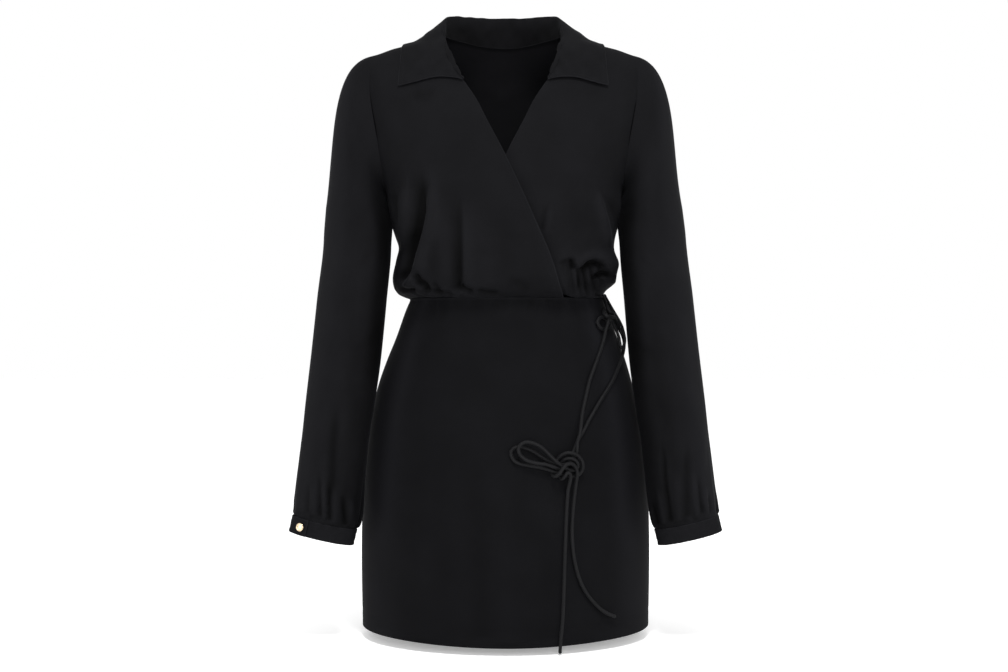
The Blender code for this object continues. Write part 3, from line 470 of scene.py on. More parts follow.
def through(points, shares, *own):
    """Places on the smooth curve through a route's points, by their shares of it.

    Where the points hold a field of routes, own is the place in the field of each share.
    """
    padded = np.concatenate([[2 * points[0] - points[1]], points, [2 * points[-1] - points[-2]]])
    place = np.clip(shares, 0.0, 1.0) * (len(points) - 1)
    i = np.minimum(place.astype(int), len(points) - 2)
    before, first, last, after = (padded[(i + shift, *own)] for shift in range(4))
    return bridge(first, 0.5 * (last - before), last, 0.5 * (after - first), (place - i)[..., None])


def running(steps):
    return np.concatenate([[0.0], np.cumsum(steps)])


def lengths_along(points):
    return running(np.linalg.norm(np.diff(points, axis=0), axis=1))


def evenly(points, step):
    """The same route with its points the same distance apart."""
    done = lengths_along(points)
    at = np.linspace(0.0, done[-1], max(2, round(done[-1] / step)) + 1)
    return np.stack([np.interp(at, done, part) for part in parts_of(points)], axis=1)


def shares(length, step, close_ends=True):
    """Shares along a length, close together near its ends."""
    fine = np.array([0.0, 0.0004, 0.0010, 0.0019, 0.0032, 0.0048, 0.0066, 0.0086] if close_ends else [0.0])
    low, high = fine[-1], length - fine[-1]
    middle = np.linspace(low, high, max(2, round((high - low) / step)) + 1)[1:-1]
    return np.concatenate([fine, middle, length - fine[::-1]]) / length


# ---- form of the body

def ridge_height(x):
    """Height of the shoulder line, which goes on up the neck inside the neck points."""
    x = np.abs(x)
    inside = np.clip(x / NECK_HALF, 0.0, 1.0)
    crown = 0.5 * SHOULDER_SLOPE * NECK_HALF * (1.0 - inside**2)
    rise = NECK_RISE * 0.5 * (1.0 + np.cos(math.pi * inside))
    return np.where(x >= NECK_HALF, -SHOULDER_SLOPE * (x - NECK_HALF), crown + rise)


def radius_at(form, squareness, angle, z):
    """How far a form stands out from its middle, at an angle from the front and a height."""
    width, front, back = form(z)
    across = np.abs(np.sin(angle)) / width
    along = np.abs(np.cos(angle)) / np.where(np.cos(angle) > 0.0, front, back)
    return (across**squareness + along**squareness) ** (-1.0 / squareness)


def depth_of(share, depth, squareness):
    """How deep a form is at a share of its width."""
    return depth * (1.0 - share**squareness) ** (1.0 / squareness)


def bodice_point(angle, climb):
    """Points of the bodice. Climb is 0 at the waist and 1 on the shoulder line."""
    x = 0.1 * np.sin(angle)
    for _ in range(5):
        ridge = ridge_height(x)
        z = mix(WAIST, ridge, climb)
        radius = radius_at(BODICE, BODY_SQUARENESS, angle, z)
        x = radius * np.sin(angle)
    return points_of(x, -radius * np.cos(angle) * quarter_round((ridge - z) / ROUNDING), z)


def bodice_angle(x, z, back=False):
    width, front, behind = BODICE(z)
    y = depth_of(np.clip(np.abs(x) / width, 0.0, 1.0), behind if back else front, BODY_SQUARENESS)
    return np.copysign(np.arctan2(np.abs(x), -y if back else y), x)


def climb_of(x, z):
    return (z - WAIST) / (ridge_height(x) - WAIST)


UNDERARM_CLIMB = float(climb_of(BODICE(UNDERARM)[0], UNDERARM))


def armhole_angle(climb, back=False):
    """Angle of the side seam, and above the underarm of the armhole, on the wearer's left."""
    up = np.clip((climb - UNDERARM_CLIMB) / (1.0 - UNDERARM_CLIMB), 0.0, 1.0)
    cut = ARMHOLE_BACK_CUT if back else ARMHOLE_FRONT_CUT
    share = 1.0 - cut * (1.0 - (1.0 - np.minimum(up / 0.5, 1.0)) ** 2) ** 1.25
    top_share = SHOULDER_HALF / BODICE(ridge_height(SHOULDER_HALF))[0]
    share = mix(share, top_share, ramp(up, 0.5, 0.5))
    z = mix(WAIST, ridge_height(SHOULDER_HALF), climb)
    angle = bodice_angle(share * BODICE(z)[0], z, back)
    return np.where(climb <= UNDERARM_CLIMB, math.pi / 2, angle)


def wrap_edge_angle(climb):
    """Angle of the over front's inner edge, which starts on the wearer's left at the waist."""
    x = np.zeros_like(climb)
    for _ in range(6):
        z = mix(WAIST, ridge_height(x), climb)
        x = WRAP(z)[0]
    return bodice_angle(x, z)


def leaning(points):
    """The shoulders as they hang, a touch towards the wearer's right."""
    x, y, z = parts_of(points)
    x = x - SHOULDER_LEAN * ramp(np.abs(x), 0.09, 0.07) * ramp(z, -0.31, 0.14)
    return points_of(x, y, z - CAP_DROP * ramp(np.abs(x), 0.148, 0.030) * ramp(z, -0.13, 0.07))


def wrist_out(points):
    """The left wrist as it hangs, a touch further out than the right one."""
    x, y, z = parts_of(points)
    return points_of(x + WRIST_OUT * ramp(-z, 0.600, 0.045) * (x > 0.0), y, z)


def drawn_in(points):
    """The body's sides where the blouse and the hip are drawn in, a little unlike each other."""
    x, y, z = parts_of(points)
    notch, full = hump(z, -0.2915, 0.013), hump(z, -0.3110, 0.012)
    hip = ramp(-z, 0.3520, 0.006) * ramp(z, -0.490, 0.080)
    corner = ramp(-z, 0.3360, 0.014) * ramp(z, WAIST, 0.0045)
    right = ramp(-x, 0.060, 0.070) * (0.0055 * notch + 0.0040 * hip + 0.0022 * full)
    left = ramp(x, 0.090, 0.045) * (0.0020 * notch + 0.0100 * corner - 0.0042 * full)
    return points_of(x + right - left, y, z)


def beside_roll(points):
    """The neck's edges, held off to the sides by the collar's roll, more to the wearer's right."""
    x, y, z = parts_of(points)
    near_roll = 1.0 - ramp(np.abs(x), 0.080, 0.035)
    right = -0.0052 * ramp(z, -0.078, 0.045) * near_roll * ramp(-x, 0.0, 0.04)
    left = -0.0030 * ramp(z, -0.005, 0.030) * near_roll * ramp(x, 0.0, 0.04)
    swell = 0.0035 * hump(z, 0.006, 0.014) * ramp(np.abs(x), 0.07, 0.03)
    return points_of(x + right + left + np.copysign(swell, x), y, z)


def over_front(u, v):
    return bodice_point(mix(-armhole_angle(v), wrap_edge_angle(v), u), v)


def under_front(u, v):
    point = bodice_point(mix(-wrap_edge_angle(v), armhole_angle(v), u), v)
    past_edge = point[..., 0] - WRAP(point[..., 2])[0]
    sink = UNDER_SINK * smoothstep(1.0 - past_edge / UNDER_RAMP)
    sink += HIDDEN_SINK * ramp(-past_edge, 0.004, 0.020)
    return point - normals_of(point) * sink[..., None]


def back_neck_height(x):
    inside = np.minimum(np.abs(x) / NECK_HALF, 1.0)
    return -NECK_BACK_DROP * 0.5 * (1.0 + np.cos(math.pi * inside))


def back_panel(u, v):
    """The back, from the wearer's left to the right."""
    climb = v
    for _ in range(4):
        angle = math.pi - (1.0 - 2.0 * u) * (math.pi - armhole_angle(climb, back=True))
        x = bodice_point(angle, climb)[..., 0]
        climb = v * np.where(np.abs(x) < NECK_HALF, climb_of(x, back_neck_height(x)), 1.0)
    return bodice_point(angle, climb)


def skirt_point(angle, z):
    radius = radius_at(SKIRT, SKIRT_SQUARENESS, angle, z)
    rise = HEM_RISE * ramp(-z, 0.70, 0.10) * (np.sin(angle) ** 2 - 0.42)
    return points_of(radius * np.sin(angle), -radius * np.cos(angle), z + rise)


def skirt_face(x, z, most):
    """The depth of the skirt's face at a place, and the way out of it, up to a share of its width."""
    width, front, _ = SKIRT(np.maximum(z, HEM))
    share = np.minimum(np.abs(x) / width, most)
    y = -depth_of(share, front, SKIRT_SQUARENESS)
    power = SKIRT_SQUARENESS - 1.0
    away = points_of(np.copysign(share**power / width, x), -((np.abs(y) / front) ** power) / front, 0.0)
    return y, unit(away), width


def on_skirt(x, z, out):
    """A point in front of the skirt, out from its face by the distance given."""
    y, away, _ = skirt_face(x, z, 0.999)
    return points_of(x, y, z) + away * out


def off_the_skirt(points, clearance):
    """The points, moved out where they are nearer to the skirt's face than the clearance."""
    x, y, z = parts_of(points)
    face, away, width = skirt_face(x, z, 0.985)
    height = (face - y) * -away[:, 1]
    short = np.where(np.abs(x) < width, np.clip(clearance - height, 0.0, 0.0006), 0.0)
    return points + away * short[:, None]


def drawn_places(points):
    """Where points stand on the front drawing: across from its left, down from its top."""
    nearer = CAMERA_AWAY / (CAMERA_AWAY + points[..., 1])
    across = CAMERA_SIDE + (points[..., 0] - CAMERA_SIDE) * nearer
    up = CAMERA_HEIGHT + (points[..., 2] - CAMERA_HEIGHT) * nearer
    return DRAWN_MIDDLE + across / UNIT, DRAWN_NECK - up / UNIT


def flat_places(points):
    """Where points stand on the back drawing, which has the same units and no nearness."""
    return DRAWN_MIDDLE + points[..., 0] / UNIT, DRAWN_NECK - points[..., 2] / UNIT


def drawn_turn(across, down, out):
    """The point over the skirt's face that stands at a place of the front drawing."""
    x, z = (across - DRAWN_MIDDLE) * UNIT, (DRAWN_NECK - down) * UNIT
    for _ in range(40):
        point = on_skirt(x, z, out / 1000.0)
        reached = drawn_places(point)
        x += 0.7 * (across - reached[0]) * UNIT
        z -= 0.7 * (down - reached[1]) * UNIT
    return point


# ---- sleeves, cuffs, collar

def sleeve_tube(z, angle):
    """Points of the right sleeve. Angle 0 is its outer side, 90 degrees the front."""
    x, y, half_x, half_y, turn, tilt = SLEEVE(z)
    deep = -half_y * np.sin(angle)
    turned = -half_x * np.cos(angle) - turn * deep
    return points_of(x + turned, y + deep, z - turned * np.tan(np.radians(tilt)))


def armhole_point(angle):
    climb = mix(UNDERARM_CLIMB, 1.0, 0.5 + 0.5 * np.cos(angle))
    front, back = armhole_angle(climb), armhole_angle(climb, back=True)
    return bodice_point(-np.where(np.sin(angle) < 0.0, back, front), climb)


def sleeve_right(u, v):
    """The right sleeve: v is 0 at the cuff and 1 at the armhole."""
    angle = 2.0 * math.pi * u
    tube = sleeve_tube(mix(SLEEVE.at[0], SLEEVE.at[-1], np.minimum(v / SLEEVE_TUBE, 1.0)), angle)
    share = np.clip((v - SLEEVE_TUBE) / (1.0 - SLEEVE_TUBE), 0.0, 1.0)[..., None]
    low, high = sleeve_tube(SLEEVE.at[-1], angle), armhole_point(angle)
    reach = np.linalg.norm(high - low, axis=-1, keepdims=True)
    leave = points_of(0.026 + 0.17 * np.maximum(0.0, np.cos(angle)), 0.0, 1.15) * reach
    arrive = np.array([0.80, 0.0, 0.80 * SHOULDER_SLOPE]) * reach
    return np.where((v <= SLEEVE_TUBE)[..., None], tube, bridge(low, leave, high, arrive, share))


def mirrored(surface):
    """The same surface on the other side of the body."""
    return lambda u, v: surface(1.0 - u, v) * np.array([-1.0, 1.0, 1.0])


def cuff(start):
    """A cuff on the right side: a strip wound once round, its end lapped over its start."""
    def surface(u, v):
        sweep = (2.0 * math.pi + CUFF_OVERLAP) * u
        grow = CUFF_PROUD + CUFF_STEP * smoothstep((sweep - 2.0 * math.pi + 0.5) / 0.5)
        x, y, half_x, half_y, _, _ = SLEEVE(SLEEVE.at[0])
        across = -(half_x / math.cos(CUFF_TILT) + grow) * np.cos(start + sweep)
        down = CUFF_HEIGHT * (1.0 - v) + SEAM
        return points_of(
            x + across * math.cos(CUFF_TILT) - down * math.sin(CUFF_TILT),
            y - (half_y + grow) * np.sin(start + sweep),
            SLEEVE.at[0] - across * math.sin(CUFF_TILT) - down * math.cos(CUFF_TILT),
        )
    return surface


CUFF_SURFACES = {"right": cuff(CUFF_START_RIGHT), "left": mirrored(cuff(CUFF_START_LEFT))}


def neck_seam_point(at):
    """The neck seam on the wearer's left, from centre back (0) to the front end (1)."""
    x = NECK_HALF * np.sin(math.pi * np.minimum(at, 0.5))
    z = back_neck_height(x)
    behind = bodice_point(bodice_angle(x, z, back=True), climb_of(x, z))
    z = -0.0700 * (np.maximum(at - 0.5, 0.0) / 0.5) ** 1.5
    x = -WRAP(z)[0]
    ahead = bodice_point(bodice_angle(x, z), climb_of(x, z))
    return np.where((at < 0.5)[..., None], behind, ahead) + np.array([0.0, 0.0, SEAM])


def collar_half(at, across):
    """The collar on the wearer's left: across is 0 at the neck seam and 1 at the outer edge."""
    rows = COLLAR(at)
    fold, edge, seam = points_of(*rows[:3]), points_of(*rows[3:]), neck_seam_point(at)
    fall = unit(edge - fold) * 0.010
    rise = fold - seam
    up = points_of(0.0, 0.0, COLLAR_SPRING * smoothstep(np.linalg.norm(rise, axis=-1) / 0.02))
    route = np.stack([seam, seam + rise * 0.6, fold, fold + fall + up, mix(fold, edge, 0.55) + up, edge])
    point = through(route, across, *np.indices(at.shape))
    point[..., 2] += COLLAR_KINK * ramp(at, 0.8, 0.2) * hump(across, 0.73, 0.14)
    return point


# ---- folds and gathers

def spread(value, along):
    """One number, or several that follow each other evenly along a line."""
    value = np.atleast_1d(value)
    return np.interp(along, np.linspace(0.0, 1.0, len(value)), value)


def fold_heights(folds, across, down):
    """How far drawn folds push the cloth out at places of the drawing, in metres."""
    height = np.zeros_like(across)
    for line, depth, left, right, fade_in, fade_out in folds:
        line = np.array(line, float)
        begun = lengths_along(line)
        reach = 3.0 * max(np.max(left), np.max(right))
        (left_end, top), (right_end, bottom) = line.min(axis=0) - reach, line.max(axis=0) + reach
        near = (across > left_end) & (across < right_end) & (down > top) & (down < bottom)
        a, b = across[near], down[near]
        best, side, along = np.full(a.shape, 1e9), np.zeros_like(a), np.zeros_like(a)
        for first, last, start, end in zip(line, line[1:], begun, begun[1:]):
            step = (last - first) / (end - start)
            t = np.clip((a - first[0]) * step[0] + (b - first[1]) * step[1], 0.0, end - start)
            da, db = a - first[0] - step[0] * t, b - first[1] - step[1] * t
            distance = np.hypot(da, db)
            closer = distance < best
            best = np.where(closer, distance, best)
            side = np.where(closer, step[0] * db - step[1] * da, side)
            along = np.where(closer, (start + t) / begun[-1], along)
        width = np.where(side > 0.0, spread(left, along), spread(right, along))
        fade = smoothstep(along / fade_in + 0.1) * smoothstep((1.0 - along) / fade_out + 0.1)
        height[near] += spread(depth, along) / 1000.0 * fade * hump(best, 0.0, width)
    return height


def soft_waves(around, up, seed, turns=(3, 11), climb=9.0):
    """An uneven smooth field between about -1 and 1, which joins up round the body."""
    dice = np.random.default_rng(seed)
    count = 7
    total = 0.0
    for _ in range(count):
        turn = dice.integers(*turns)
        rise = dice.uniform(-climb, climb)
        total = total + dice.uniform(0.5, 1.0) * np.cos(turn * around + rise * up + dice.uniform(0, 6.3))
    return total / math.sqrt(count)


def seam_gathers(along, height, seed, spacing, depth, reach, wrap=False):
    """Little pleats that run away from a gathered seam, uneven in place, depth and length."""
    dice = np.random.default_rng(seed)
    length = along[-1]
    total = 0.0
    at = dice.uniform(0.0, spacing)
    sign = 1.0
    while at < length:
        width = dice.uniform(0.26, 0.42) * spacing
        far = reach * dice.uniform(0.45, 1.35)
        lean = dice.uniform(-0.10, 0.10)
        deep = depth * dice.uniform(0.35, 1.25) * sign
        gap = along - at - lean * height
        if wrap:
            gap = (gap + 0.5 * length) % length - 0.5 * length
        rise = smoothstep(height / 0.0035 + 0.35)
        total = total + deep * rise * np.exp(-((height / far) ** 1.6)) * hump(gap, 0.0, width)
        at += spacing * dice.uniform(0.45, 1.45)
        sign = -sign if dice.uniform() < 0.8 else sign
    return total


# ---- making meshes

def normals_of(grid, closed=False):
    """Directions out of the cloth on a grid of points, with rows up and columns along."""
    along = np.gradient(grid, axis=1)
    if closed:
        along[:, 0] = along[:, -1] = 0.5 * (grid[:, 1] - grid[:, -2])
    return unit(np.cross(along, np.gradient(grid, axis=0)))


def flat_lengths(grid):
    """Lengths along and up a grid, as its cloth would lie flat."""
    along = np.linalg.norm(np.diff(grid, axis=1), axis=2).mean(axis=0)
    up = np.linalg.norm(np.diff(grid, axis=0), axis=2).mean(axis=1)
    return running(along), running(up)


def let_out(grid, closed):
    """The grid with its borders let out a little, so that sewn pieces meet with no gap."""
    grid = grid.copy()
    for lines in (grid,) if closed else (grid.swapaxes(0, 1), grid):
        for border, inner in ((0, 2), (-1, -3)):
            lines[border] += 0.5 * SEWN_OVERLAP * unit(lines[border] - lines[inner])
    return grid


def faces_of(numbers):
    """Four-sided faces of a grid of numbers, all turned the way the grid is."""
    corners = [numbers[:-1, :-1], numbers[:-1, 1:], numbers[1:, 1:], numbers[1:, :-1]]
    return np.stack(corners, axis=-1).reshape(-1, 4)


def mesh_from(name, vertices, quads, corners, values):
    """A mesh of four-sided faces, with its flat lengths as a map and named values."""
    mesh = bpy.data.meshes.new(name)
    mesh.vertices.add(len(vertices))
    mesh.vertices.foreach_set("co", np.asarray(vertices, np.float32).ravel())
    mesh.loops.add(quads.size)
    mesh.loops.foreach_set("vertex_index", quads.astype(np.int32).ravel())
    mesh.polygons.add(len(quads))
    mesh.polygons.foreach_set("loop_start", np.arange(0, quads.size, 4, dtype=np.int32))
    mesh.polygons.foreach_set("loop_total", np.full(len(quads), 4, np.int32))
    mesh.update(calc_edges=True)
    layer = mesh.uv_layers.new(name="Cloth")
    layer.data.foreach_set("uv", np.asarray(corners, np.float32).ravel())
    for key, value in values.items():
        attribute = mesh.attributes.new(key, "FLOAT", "POINT")
        attribute.data.foreach_set("value", np.asarray(value, np.float32).ravel())
    mesh.validate()
    mesh.shade_smooth()
    mesh.set_sharp_from_angle(angle=SHARP_RIM)
    return mesh


def placed(name, data, place=(0.0, 0.0, 0.0), turn=(0.0, 0.0, 0.0)):
    made = bpy.data.objects.new(name, data)
    made.location = place
    made.rotation_euler = turn
    bpy.context.scene.collection.objects.link(made)
    return made


def new_piece(name, mesh, finish, slot, *nodes):
    """A piece of the dress, which stands for its nodes."""
    made = placed(PIECE_NAMES.get(name, name), mesh)
    mesh.materials.append(finish)
    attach(made, "root")
    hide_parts(*nodes)
    return made


def round_piece(name, rings, lengths, finish, slot, *nodes):
    """A solid piece from rings of points, which follow each other from its start to its end."""
    rows, sides = rings.shape[:2]
    numbers = np.arange(rows * (sides + 1)).reshape(rows, sides + 1)
    row, column = np.divmod(faces_of(numbers), sides + 1)
    cap = np.array([(0, i, i + 1, i + 2) for i in range(1, sides - 2, 2)])
    quads = np.concatenate([row * sides + column % sides, cap[:, ::-1], cap + (rows - 1) * sides])
    corners = np.stack([lengths[row], column / sides], axis=-1)
    corners = np.concatenate([corners, np.zeros((2 * len(cap), 4, 2))])
    mesh = mesh_from(name, rings.reshape(-1, 3), quads, corners, {})
    return new_piece(name, mesh, finish, slot, *nodes)


def edge_distance(along, up, sides):
    """Distance from the nearest of the marked borders, and the length run along it."""
    across, climb = np.meshgrid(along, up)
    best = np.ones_like(across)
    run = np.zeros_like(across)
    choices = {
        "left": (across, climb),
        "right": (along[-1] - across, climb),
        "low": (climb, across),
        "high": (up[-1] - climb, across),
    }
    for distance, length in (choices[side] for side in sides):
        closer = distance < best
        best = np.where(closer, distance, best)
        run = np.where(closer, length, run)
    return best, run


def blurred(values, along, up, closed):
    """The same values, evened out over a few centimetres of the cloth."""
    turns = (0.0, -along[-1], along[-1]) if closed else (0.0,)
    shares_up, shares_along = (
        sum(hump(at[:, None] - at[None], turn, CREASE_REACH) for turn in around) * np.gradient(at)[None]
        for at, around in ((up, (0.0,)), (along, turns))
    )
    shares_up /= shares_up.sum(axis=1, keepdims=True)
    shares_along /= shares_along.sum(axis=1, keepdims=True)
    return shares_up @ values @ shares_along.T


def shell(name, grid, relief, slot="bodice_crepe", closed=False, turned=(), thick=CLOTH,
          turned_thick=TURNED, turned_width=TURNED_WIDTH, shade=(0.0, 0.0)):
    """One piece of cloth: its outer and inner faces with rounded rims, turned under at some borders.

    Shade is painted light or shade on the outer and the inner face, added to the painted shade in the cloth's
    creases and the painted highlight on its ridges.
    """
    along, up = flat_lengths(grid)
    grid = let_out(grid, closed)
    raised = grid + normals_of(grid, closed) * relief[..., None]
    normals = normals_of(raised, closed)
    hem, run = edge_distance(along, up, turned)
    thickness = mix(thick, turned_thick, smoothstep((turned_width - hem) / 0.0012))
    half = 0.5 * thickness
    bulge = 0.9 * half * (1.0 - quarter_round(hem / half))
    step = 0.35 * (thickness - thick)
    faces = [raised + normals * height[..., None] for height in (step - bulge, step - thickness + bulge)]
    # Painted shade in creases and painted highlight on ridges, from how far the cloth lies below or above the
    # cloth round it
    painted_light = np.clip((relief - blurred(relief, along, up, closed)) / CREASE_FULL, -1.0, CREASE_PALE)

    rows, columns = hem.shape
    count = columns - 1 if closed else columns
    numbers = np.arange(2 * rows * columns).reshape(2, rows, columns)
    patches = [numbers[0], numbers[1, :, ::-1], numbers[:, 0, ::-1], numbers[:, -1]]
    if not closed:
        patches += [numbers[:, :, 0], numbers[:, ::-1, -1]]
    row, column = np.divmod(np.concatenate([faces_of(patch) for patch in patches]), columns)
    corners = np.stack([along[column], up[row % rows]], axis=-1)
    vertices = np.concatenate([face[:, :count].reshape(-1, 3) for face in faces])
    values = {
        "hem": np.tile(hem[:, :count].ravel(), 2),
        "run": np.tile(run[:, :count].ravel(), 2),
        "reverse": np.repeat([0.0, 1.0], rows * count),
        "painted_light": np.concatenate([(painted_light + face)[:, :count].ravel() for face in shade]),
    }
    mesh = mesh_from(name, vertices, row * count + column % count, corners, values)
    made = new_piece(name, mesh, crepe_of(slot), slot, name)


# ---- finishes

def feed(tree, made, inputs):
    """Join outputs to a node's inputs, or set the inputs to values."""
    for key, value in inputs.items():
        if isinstance(value, bpy.types.NodeSocket):
            tree.links.new(value, made.inputs[key])
        else:
            made.inputs[key].default_value = value


def node(tree, kind, output, inputs, **settings):
    made = tree.nodes.new("ShaderNode" + kind)
    for key, value in settings.items():
        setattr(made, key, value)
    feed(tree, made, inputs)
    return made.outputs[output]


def maths(tree, operation, *values):
    return node(tree, "Math", 0, dict(enumerate(values)), operation=operation)


def weighted(tree, total, *terms):
    """A number with outputs added to it, each times its weight."""
    for output, weight in terms:
        total = maths(tree, "ADD", maths(tree, "MULTIPLY", output, weight), total)
    return total


def new_finish(name):
    made = bpy.data.materials.new(name)
    made.use_nodes = True
    return made, made.node_tree, made.node_tree.nodes["Principled BSDF"]


def toned(tree, colour, low, high, share):
    """The colour, from a darker to a paler tone of it."""
    tones = [(*(min(1.0, channel * tone) for channel in colour), 1.0) for tone in (low, high)]
    inputs = {"A": tones[0], "B": tones[1], "Factor": share}
    return node(tree, "Mix", "Result", inputs, data_type="RGBA")


def bumped(tree, height, strength, distance):
    inputs = {"Height": height, "Strength": strength, "Distance": distance}
    return node(tree, "Bump", "Normal", inputs)


def crepe_finish(name, colour, sheen):
    """Matt crepe: a fine pebbled weave, a soft sheen, rows of stitches along its turned edges and paler
    borders, with painted shade in creases and on the inner face, painted highlights on ridges, and each
    piece's painted light or shade.
    """
    made, tree, shader = new_finish(name)
    flat = node(tree, "UVMap", "UV", {}, uv_map="Cloth")
    pebble, cloud = (
        node(tree, "TexNoise", "Fac", {"Vector": flat, "Scale": scale, "Detail": detail, "Roughness": rough})
        for scale, detail, rough in ((900.0, 3.0, 0.6), (16.0, 4.0, 0.55))
    )
    warp, weft = (
        node(tree, "TexWave", "Fac", {"Vector": flat, "Scale": scale, "Distortion": bend},
             bands_direction=axis)
        for axis, scale, bend in (("X", 420.0, 2.2), ("Y", 380.0, 2.8))
    )
    hem, run, reverse, painted_light = (
        node(tree, "Attribute", "Fac", {}, attribute_name=key) for key in ("hem", "run", "reverse", "painted_light")
    )
    off_line = maths(tree, "ABSOLUTE", maths(tree, "SUBTRACT", hem, STITCH_LINE))
    beat = maths(tree, "LESS_THAN", maths(tree, "FRACT", maths(tree, "MULTIPLY", run, STITCHES)), 0.72)
    stitch = maths(tree, "MULTIPLY", maths(tree, "GREATER_THAN", STITCH_HALF, off_line), beat)
    # The last 0.8 mm at every border is paler.
    edge_paler = maths(tree, "LESS_THAN", hem, 0.0008)
    # Painted shade: the inner face is painted a little darker; the painted light of creases, ridges and each
    # piece is added here too.
    share = weighted(
        tree, 0.1, (cloud, 0.4), (pebble, 0.4), (stitch, 0.12), (edge_paler, 0.35), (reverse, -0.05), (painted_light, 0.42)
    )
    weave = maths(tree, "MULTIPLY", warp, weft)
    height = weighted(tree, 0.0, (pebble, 0.7), (weave, 0.3), (stitch, -0.9))
    feed(tree, shader, {
        "Base Color": toned(tree, colour, 0.10, 1.90, share),
        "Roughness": weighted(tree, 0.74, (pebble, 0.16)),
        "Specular IOR Level": 0.04,
        "Sheen Weight": sheen,
        "Sheen Roughness": 0.30,
        "Sheen Tint": (0.86, 0.88, 1.0, 1.0),
        "Normal": bumped(tree, height, 0.45, 0.00022),
    })
    return made


def cord_finish(name, colour):
    """A fine round braid: two sets of yarns that cross on the slant."""
    made, tree, shader = new_finish(name)
    flat = node(tree, "UVMap", "UV", {}, uv_map="Cloth")
    slant, round_it = (
        maths(tree, "MULTIPLY", node(tree, "SeparateXYZ", part, {"Vector": flat}), 2.0 * math.pi * often)
        for part, often in (("X", 1.0 / 0.0040), ("Y", 4.0))
    )
    left, right = (maths(tree, "SINE", maths(tree, way, slant, round_it)) for way in ("ADD", "SUBTRACT"))
    braid = maths(tree, "MAXIMUM", left, right)
    fuzz = node(tree, "TexNoise", "Fac", {"Vector": flat, "Scale": 2600.0, "Detail": 2.0})
    feed(tree, shader, {
        "Base Color": toned(tree, colour, 0.7, 1.35, weighted(tree, 0.0, (braid, 0.3), (fuzz, 0.7))),
        "Roughness": weighted(tree, 0.5, (fuzz, 0.2)),
        "Specular IOR Level": 0.09,
        "Sheen Weight": 0.02,
        "Sheen Roughness": 0.35,
        "Sheen Tint": (0.9, 0.92, 1.0, 1.0),
        "Normal": bumped(tree, weighted(tree, 0.0, (braid, 0.5), (fuzz, 0.3)), 0.5, 0.00025),
    })
    return made


def gold_finish(name, colour):
    """Satin pale gold, faintly brushed, a little duller in its hollows."""
    made, tree, shader = new_finish(name)
    place = node(tree, "TexCoord", "Object", {})
    brush = node(tree, "TexNoise", "Fac", {"Vector": place, "Scale": 1400.0, "Detail": 3.0})
    feed(tree, shader, {
        "Base Color": toned(tree, colour, 0.86, 1.1, brush),
        "Metallic": 1.0,
        "Roughness": weighted(tree, 0.24, (brush, 0.16)),
        "Normal": bumped(tree, brush, 0.15, 0.0001),
    })
    return made


def crepe_of(slot):
    """The crepe of a material slot, made when it is first asked for."""
    cloth = bpy.context.scene.dress_cloth
    name, colour, sheen = {
        "bodice_crepe": ("soft_crepe", cloth.bodice, cloth.sheen),
        "skirt_crepe": ("dense_crepe", cloth.skirt, 0.8 * cloth.sheen),
    }[slot]
    return bpy.data.materials.get(name) or crepe_finish(name, tuple(colour), sheen)


# ---- what a user may change

COLOUR = {"subtype": "COLOR", "size": 3, "min": 0.0, "max": 1.0}
SHARE = {"subtype": "FACTOR", "min": 0.0, "max": 1.0}
LENGTH = {"subtype": "DISTANCE", "unit": "LENGTH"}


class DressCloth(PropertyGroup):
    """Colours and sheen of the crepe"""

    bodice: FloatVectorProperty(
        name="Bodice", description="Colour of the bodice, collar, sleeves and cuffs",
        default=(0.0036, 0.0036, 0.0042), **COLOUR,
    )
    skirt: FloatVectorProperty(
        name="Skirt", description="Colour of the skirt, which is a denser crepe",
        default=(0.0027, 0.0027, 0.0032), **COLOUR,
    )
    sheen: FloatProperty(
        name="Sheen", description="Soft light along the cloth's turning edges",
        default=0.010, **SHARE,
    )
    gather_depth: FloatProperty(
        name="Gather depth", description="How deep the little pleats at the gathered seams are",
        default=0.0013, min=0.0, max=0.004, **LENGTH,
    )


class DressTie(PropertyGroup):
    """Size and colour of the tie"""

    cord: FloatProperty(
        name="Cord", description="Diameter of the round cord",
        default=0.0045, min=0.003, max=0.006, **LENGTH,
    )
    colour: FloatVectorProperty(
        name="Cord colour", description="Colour of the cord's yarns",
        default=(0.0039, 0.0039, 0.0044), **COLOUR,
    )


class DressButtons(PropertyGroup):
    """Finish of the cuff buttons"""

    gold: FloatVectorProperty(
        name="Gold", description="Colour of the buttons' plating",
        default=(0.62, 0.50, 0.34), **COLOUR,
    )


class DressStage(PropertyGroup):
    """Light and floor"""

    daylight: FloatProperty(
        name="Daylight", description="Strength of the even light from all sides",
        default=1.0, min=0.0, max=4.0,
    )
    room: FloatProperty(
        name="Room",
        description="Share of the daylight that comes from the room in front, away from the white backdrop",
        default=0.30, **SHARE,
    )
    softbox: FloatProperty(
        name="Softboxes", description="Power of the soft light that hangs above the front",
        default=74.0, min=0.0, max=400.0, subtype="POWER", unit="POWER",
    )
    table_glow: FloatProperty(
        name="Table glow",
        description="Light that the pale table gives off by itself, which softens the shadow on it",
        default=0.285, min=0.0, max=1.0,
    )
    floor_gap: FloatProperty(
        name="Floor gap", description="How far the floor lies below the tie's lowest end",
        default=0.002, min=0.0, max=0.2, **LENGTH,
    )


# ---- the tie

